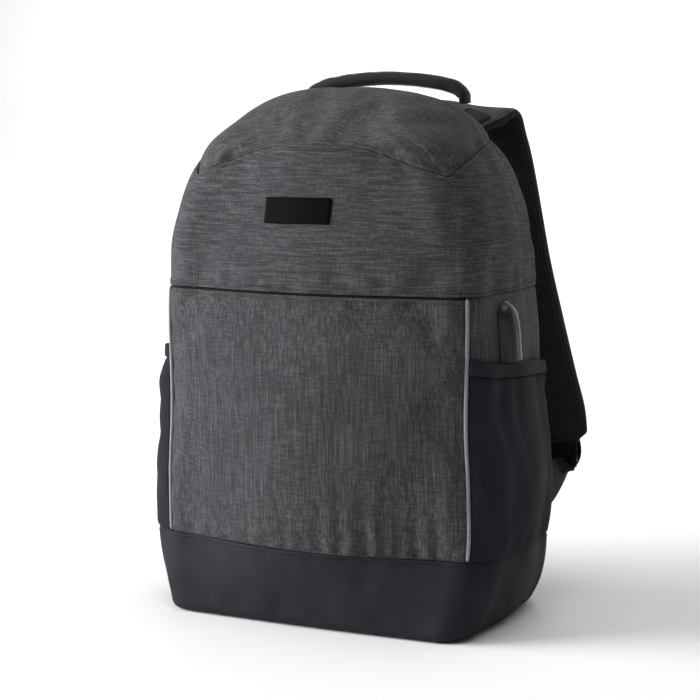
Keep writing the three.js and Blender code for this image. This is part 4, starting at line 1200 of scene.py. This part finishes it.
def strap(side, sign):
    across = [math.sin(t * math.pi / 2) for t in np.linspace(-1, 1, 23)]
    pad_rows = []
    cover_rows = []
    for i, station in enumerate(PAD_STATIONS):
        share = i / (len(PAD_STATIONS) - 1)
        wave = 0.5 * math.sin(share * 60) * smooth(share * 8)
        ring = []
        for a in across:
            crease = slack(station[0] + station[2] * (a * 30), 26, 0.9, 4 + sign)
            ring.append(strap_point(station, a * 0.985, -1, 0.1 + crease * (1 - a * a) + 0.3 * wave * (1 - a * a)))
        for a in reversed(across):
            ring.append(strap_point(station, a * 0.985, 1, -0.2))
        if i == 0:
            for point in ring:
                point.y = dome_back(point.x, point.z) + 0.6
        pad_rows.append([mirror(p, sign) for p in ring])
        cover = []
        for a in across:
            lift = 0.35 + 1.4 * smooth((1 - abs(a)) * 14) - 0.5 * bump(abs(a), 0.86, 0.03)
            crease = slack(station[0] + station[2] * (a * 30), 30, 0.9, 7 + sign)
            cover.append(strap_point(station, a * 0.985, 1, lift + crease * (1 - a * a)))
        if i == 0:
            for point in cover:
                point.y = dome_back(point.x, point.z) + 0.6
        cover_rows.append([mirror(p, sign) for p in cover])
    pad = grid_mesh(f"strap_pad_cloth_{side}", pad_rows, closed=True, flip=sign > 0)
    subdivide(pad)
    finish_piece(pad, AIR_MESH, "air_mesh", f"strap_pad_{side}")
    cover = grid_mesh(f"strap_cover_cloth_{side}", cover_rows, flip=sign < 0)
    subdivide(cover)
    thicken(cover, 0.8)
    finish_piece(cover, MELANGE_STRAP, "melange", f"strap_cover_{side}")
    for edge, word in ((1, "outer"), (-1, "inner")):
        rows = []
        for station in PAD_STATIONS[1:-1]:
            middle, _, width, out, half, thick = station
            centre = middle + width * (edge * (half - 1.6))
            tall = thick * 0.4 + 0.9
            ring = []
            for t in steps(-115, 115, 10):
                angle = math.radians(t)
                ring.append(centre + width * (edge * 1.9 * math.cos(angle)) + out * (tall * math.sin(angle) * 1.02))
            rows.append([mirror(p, sign) for p in ring])
        binding = grid_mesh(f"strap_binding_{word}_{side}", rows, flip=(edge * sign > 0))
        subdivide(binding)
        finish_piece(binding, BINDING, "webbing")
    runs = []
    for a in (-0.88, 0.88):
        run = []
        for station in STATIONS[2:-1]:
            point = strap_point(station, a, 1, 1.35)
            run.append((mirror(point, sign), mirror(station[3], sign)))
        runs.append(run)
    for a in (-0.9, 0.9):
        run = []
        for station in STATIONS[2:-1]:
            point = strap_point(station, a, -1, 0.15)
            run.append((mirror(point, sign), mirror(-station[3], sign)))
        runs.append(run)
    stitches(f"strap_stitches_{side}", runs, THREAD, "webbing")


def share_at(y):
    for i, station in enumerate(STATIONS):
        if station[0].y >= y:
            return i
    return 0


def anchor(side, sign):
    first = share_at(HANDLE_Y + 1)
    last = share_at(HANDLE_Y + 15)
    rows = []
    for i in range(first, last + 1):
        row = [mirror(strap_point(STATIONS[i], a, 1, 2.0 + 1.4 * min(1.0, (1 - abs(2 * t - 1)) * 12)), sign)
               for t, a in ((t, lerp(0.12, 0.92, t)) for t in steps(0, 1, 26))]
        rows.append(row)
    obj = grid_mesh(f"anchor_webbing_{side}", rows, flip=sign < 0)
    subdivide(obj)
    thicken(obj, 1.5)
    return finish_piece(obj, WEBBING, "webbing", f"handle_anchor_{side}")


# The doubled webbing that carries the lock on the pad's pointed end, and its folded tail over the lock.
def lock_webbing(side, sign):
    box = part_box("ladder_lock_right")
    centre = (Vector(box[0]) + Vector(box[1])) / 2 / MM
    _, direction, width, out, _, _ = STATIONS[-1]
    for word, path, half in (
        ("keeper", ((22, -2.6), (14, -3.4), (10.5, -2.2), (9.4, 0.2), (10.5, 2.4), (14, 3.6), (22, 2.6)), 14.0),
        ("tail", ((7.0, 1.6), (8.0, -3.2), (4.0, -6.2), (-3.0, -7.2), (-10.0, -6.8), (-17.0, -5.0), (-20.5, -1.2),
                  (-19.5, 3.0), (-14.0, 5.4), (-4.0, 6.0), (5.0, 5.6), (12.0, 4.6)), 18.5),
    ):
        line = spline([Vector((rise, stand, 0)) for rise, stand in path], 40)
        rows = []
        for point in line:
            row = []
            width_here = half * max(0.3, 1 - max(0.0, (1 - point.x) / 23.0) ** 2) ** 0.5
            for t in steps(-1, 1, 16):
                inward = 1.2 * smooth((abs(t) - 0.9) / 0.1)
                sway = 0.5 * noise.noise(Vector((t, point.x / 9, sign)))
                row.append(mirror(centre + width * (t * width_here) - direction * point.x
                                  + out * (point.y * (1 - 0.04 * inward) + sway), sign))
            rows.append(row)
        obj = grid_mesh(f"lock_{word}_{side}", rows, flip=sign > 0)
        subdivide(obj)
        thicken(obj, 1.5)
        finish_piece(obj, TAB_WEBBING, "webbing")


# The cloth tab sewn into the rear corner, narrowing to the webbing.
def strap_tab(side, sign):
    rows = []
    for share in steps(0, 1, 14):
        low = lerp(78.0, 103.5, share ** 2.2)
        high = lerp(124.0, 119.0, share)
        middle = Vector((lerp(144.5, 147.5, share), lerp(91.0, 159.0, share), (low + high) / 2))
        tall = (high - low) / 2
        row = []
        for t in steps(-1, 1, 14):
            swell_out = 1.6 * (1 - t * t) * math.sin(math.pi * share)
            crease = 0.7 * noise.noise(Vector((share * 3, t * 2, sign)))
            row.append(mirror(middle + Vector((swell_out + crease, 0, t * tall)), sign))
        rows.append(row)
    obj = grid_mesh(f"tab_{side}", rows, flip=sign > 0)
    subdivide(obj)
    thicken(obj, 2.6)
    finish_piece(obj, TAB_WEBBING, "webbing", f"strap_tab_{side}")


def handle():
    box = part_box("top_handle")
    foot = box[0][2] / MM + 3.0
    crown = HANDLE_TOP - HANDLE_THICKNESS / 2
    right = [Vector((a * HANDLE_HALF_SPAN, HANDLE_Y, crown - fall * (crown - foot))) for a, fall, _ in HANDLE_ROUTE]
    left = [Vector((-p.x, p.y, p.z)) for p in reversed(right[1:])]
    line = spline(left + right, 90)
    rows = []
    lower_run = []
    upper_runs = [[], []]
    for i, middle in enumerate(line):
        direction = (line[min(i + 1, 90)] - line[max(i - 1, 0)]).normalized()
        forward = Vector((0, -1, 0))
        out = forward.cross(direction).normalized()
        thick = read(HANDLE_ROUTE, 2, abs(middle.x) / HANDLE_HALF_SPAN) * HANDLE_THICKNESS / 2
        wide = HANDLE_WIDTH / 2
        squeeze = 1 - 0.12 * smooth((abs(middle.x) - 52) / 14)
        ring = []
        for k in range(24):
            angle = 2 * math.pi * k / 24
            c, s = math.cos(angle), math.sin(angle)
            x = math.copysign(abs(c) ** 0.72, c) * wide * squeeze
            y = math.copysign(abs(s) ** 0.8, s) * thick
            crease = 0.5 * noise.noise(Vector((middle.x / 9, c * 1.5, s * 1.5)))
            crease += 0.35 * math.sin(middle.x / 3.1) * bump(abs(middle.x), 66, 9)
            ring.append(middle + forward * x + out * (y * (1 + crease * 0.12)) + out * crease * 0.4)
        rows.append(ring)
        lower_run.append((middle - out * (thick + 0.15) + forward * (wide * 0.3), -out))
        for run, sign in zip(upper_runs, (1, -1)):
            run.append((middle + forward * (sign * wide * 0.6) + out * (thick * 0.93 + 0.1), out))
    obj = grid_mesh("handle_wrap", rows, closed=True)
    subdivide(obj)
    finish_piece(obj, HANDLE_CLOTH, "handle_cloth", "top_handle")
    stitches("handle_stitches", [lower_run[4:-4], *[run[6:-6] for run in upper_runs]], DARK_THREAD, "webbing", 3.0)


# A CAD solid with softened edges, for the hard and flat pieces that keep their shape.
def softened(node, name, width, material, slot, segments=2, shape=None):
    source = next(o for o in bpy.data.objects if o.name == node)
    mesh = source.data.copy()
    obj = bpy.data.objects.new(name, mesh)
    bpy.context.collection.objects.link(obj)
    obj.matrix_world = source.matrix_world
    weld = obj.modifiers.new("weld", "WELD")
    weld.merge_threshold = 0.00002
    bevel = obj.modifiers.new("edge", "BEVEL")
    bevel.width = width * MM
    bevel.segments = segments
    bevel.limit_method = "ANGLE"
    bevel.angle_limit = math.radians(35)
    apply_modifiers(obj)
    if shape:
        shape(obj.data)
    obj.data.polygons.foreach_set("use_smooth", [True] * len(obj.data.polygons))
    if not obj.data.uv_layers:
        obj.data.uv_layers.new(name="cloth")
    layer = obj.data.uv_layers[0].data
    for loop in obj.data.loops:
        co = obj.data.vertices[loop.vertex_index].co
        layer[loop.index].uv = (co.x + co.y, co.z)
    return finish_piece(obj, material, slot, node)


# Draws in the lower corners of a lock's frame, as moulded ones are.
def rounded_foot(mesh):
    points = co_array(mesh)
    middle = (points.min(axis=0) + points.max(axis=0)) / 2
    half = (points.max(axis=0) - points.min(axis=0)) / 2
    low = np.clip((middle[2] - points[:, 2]) / half[2], 0, 1)
    points[:, 0] = middle[0] + (points[:, 0] - middle[0]) * (1 - 0.3 * low ** 2)
    mesh.vertices.foreach_set("co", points.ravel())


# Draws up and rounds the webbing's cut end, behind the lock.
def drawn_up_tail(mesh):
    points = co_array(mesh)
    middle = (points[:, 0].min() + points[:, 0].max()) / 2
    low = np.clip((0.116 - points[:, 2]) / 0.018, 0, 1) * np.clip((points[:, 1] - 0.1575) / 0.003, 0, 1)
    points[:, 2] += 0.012 * low
    points[:, 0] = middle + (points[:, 0] - middle) * (1 - 0.4 * low)
    mesh.vertices.foreach_set("co", points.ravel())


# A zip tape lying behind a seam, with the closed coil as a ridge of short wires along its middle.
def zip_strip(name, node, places, height, half_width, depth, reach):
    rows = []
    for share in np.linspace(-1, 1, 9):
        rows.append([off_body(height(p) + share * half_width, p, -depth) for p in places])
    obj = grid_mesh(name, rows)
    subdivide(obj)
    thicken(obj, 0.7)
    finish_piece(obj, ZIP_TAPE, "zip_tape", node)
    run = [(off_body(height(p), p, -depth + reach), body_normal(height(p), p)) for p in places]
    stitches(f"{name}_coil", [run], PLASTIC, "zip_tape", 1.6, 1.1, 0.45)


def body_run(surface, places, height, lift=0.05):
    run = []
    for p in places:
        z = height(p)
        point, normal = surface.at(z, p)
        run.append((point + normal * lift, normal))
    return run


base = base_band()
lower = lower_panel()
upper = upper_panel()
cap = dome()
pocket = front_pocket()
back = back_panel()
SIDES = (("right", 1), ("left", -1))
for side, sign in SIDES:
    pouch = side_pocket(side, sign)
    hem = pocket_hem(side, sign)
    piping(side, sign)
    strap(side, sign)
    anchor(side, sign)
    softened(f"ladder_lock_{side}", f"lock_{side}", 0.7, PLASTIC, "plastic", 3, rounded_foot)
    softened(f"strap_webbing_{side}", f"webbing_{side}", 0.35, TAB_WEBBING, "webbing", 2, drawn_up_tail)
    lock_webbing(side, sign)
    strap_tab(side, sign)
handle()
upper_surface = Surface(upper)
label(upper_surface)
usb_hood()
zip_strip("main_zip_tape", "main_zip", even_places(385, -3.4, 3.4, 4.0), cap_seam, 3.5, 1.9, 0.5)
zip_strip("pocket_zip_tape", "pocket_zip", even_places(282, -1.48, 1.48, 4.0),
          lambda p: (POCKET_TOP + POCKET_SEAM_HEIGHT) / 2, 2.6, 1.9, 0.5)

wide = even_places(330, -3.4, 3.4, 3.0)
stitches("panel_stitches", [
    body_run(upper_surface, wide, lambda p: POCKET_SEAM_HEIGHT + 3.4),
    body_run(upper_surface, wide, lambda p: cap_seam(p) - 4.2),
    body_run(Surface(cap), wide, lambda p: cap_seam(p) + 4.2),
    body_run(Surface(pocket), even_places(275, -1.35, 1.35, 3.0), lambda p: POCKET_TOP - 3.2),
], THREAD, "melange")
stitches("band_stitches", [body_run(Surface(base), even_places(60, -3.4, 3.4, 3.0), lambda p: BAND_HEIGHT - 3.2)],
         DARK_THREAD, "polyester")


# Studio
def studio():
    rows = []
    for y, z in [(y, 0.0) for y in np.linspace(-5, 2.2, 30)] + [
            (2.2 + 1.2 * math.sin(t), 1.2 - 1.2 * math.cos(t)) for t in np.linspace(0.1, math.pi / 2, 14)] + [
            (3.4, z) for z in np.linspace(1.4, 5, 14)]:
        rows.append([Vector((x, y, z - 0.0006)) / MM for x in np.linspace(-5, 5, 21)])
    floor = grid_mesh("floor", rows)
    shade = Shade("floor_paper")
    tone = shade.noise((3.0, 3.0, 3.0), 2.0, 0.5)
    tint = shade.ramp(tone, ((0.3, (0.86, 0.86, 0.865)), (0.7, (0.9, 0.9, 0.905))))
    shade.link(tint, "Color", shade.surface, "Base Color")
    shade.set(Roughness=0.7, Specular_IOR_Level=0.2)
    floor.data.materials.append(shade.material)
    world = bpy.data.worlds.new("studio")
    bpy.context.scene.world = world
    world.use_nodes = True
    back_node = world.node_tree.nodes["Background"]
    back_node.inputs["Color"].default_value = (1.0, 1.0, 1.0, 1)
    back_node.inputs["Strength"].default_value = 0.14
    for name, place, size, power, turn in (
        ("key", (-2.35, -1.15, 1.05), 2.0, 150, (0, 0, 0.25)),
        ("top", (0.3, 0.0, 2.4), 1.9, 25, (0, 0, 0.3)),
        ("sweep_left", (-1.5, 1.2, 1.9), 2.0, 40, (-1.2, 3.4, 1.0)),
        ("sweep_right", (1.5, 1.2, 1.9), 2.0, 40, (1.0, 3.4, 1.0)),
    ):
        light = bpy.data.lights.new(name, "AREA")
        light.shape = "DISK"
        light.size = size
        light.energy = power
        obj = bpy.data.objects.new(name, light)
        obj.location = place
        obj.rotation_euler = (Vector(turn) - Vector(place)).to_track_quat("-Z", "Y").to_euler()
        bpy.context.collection.objects.link(obj)
    data = bpy.data.cameras.new("camera")
    data.lens = CAMERA_LENS
    data.sensor_width = 36
    camera = bpy.data.objects.new("camera", data)
    a, e = math.radians(CAMERA_AZIMUTH), math.radians(CAMERA_PITCH)
    look = Vector((-math.sin(a) * math.cos(e), math.cos(a) * math.cos(e), -math.sin(e)))
    camera.location = CAMERA_PLACE
    camera.rotation_euler = look.to_track_quat("-Z", "Y").to_euler()
    bpy.context.collection.objects.link(camera)
    bpy.context.scene.camera = camera
    bpy.context.scene.view_settings.view_transform = "Standard"


studio()
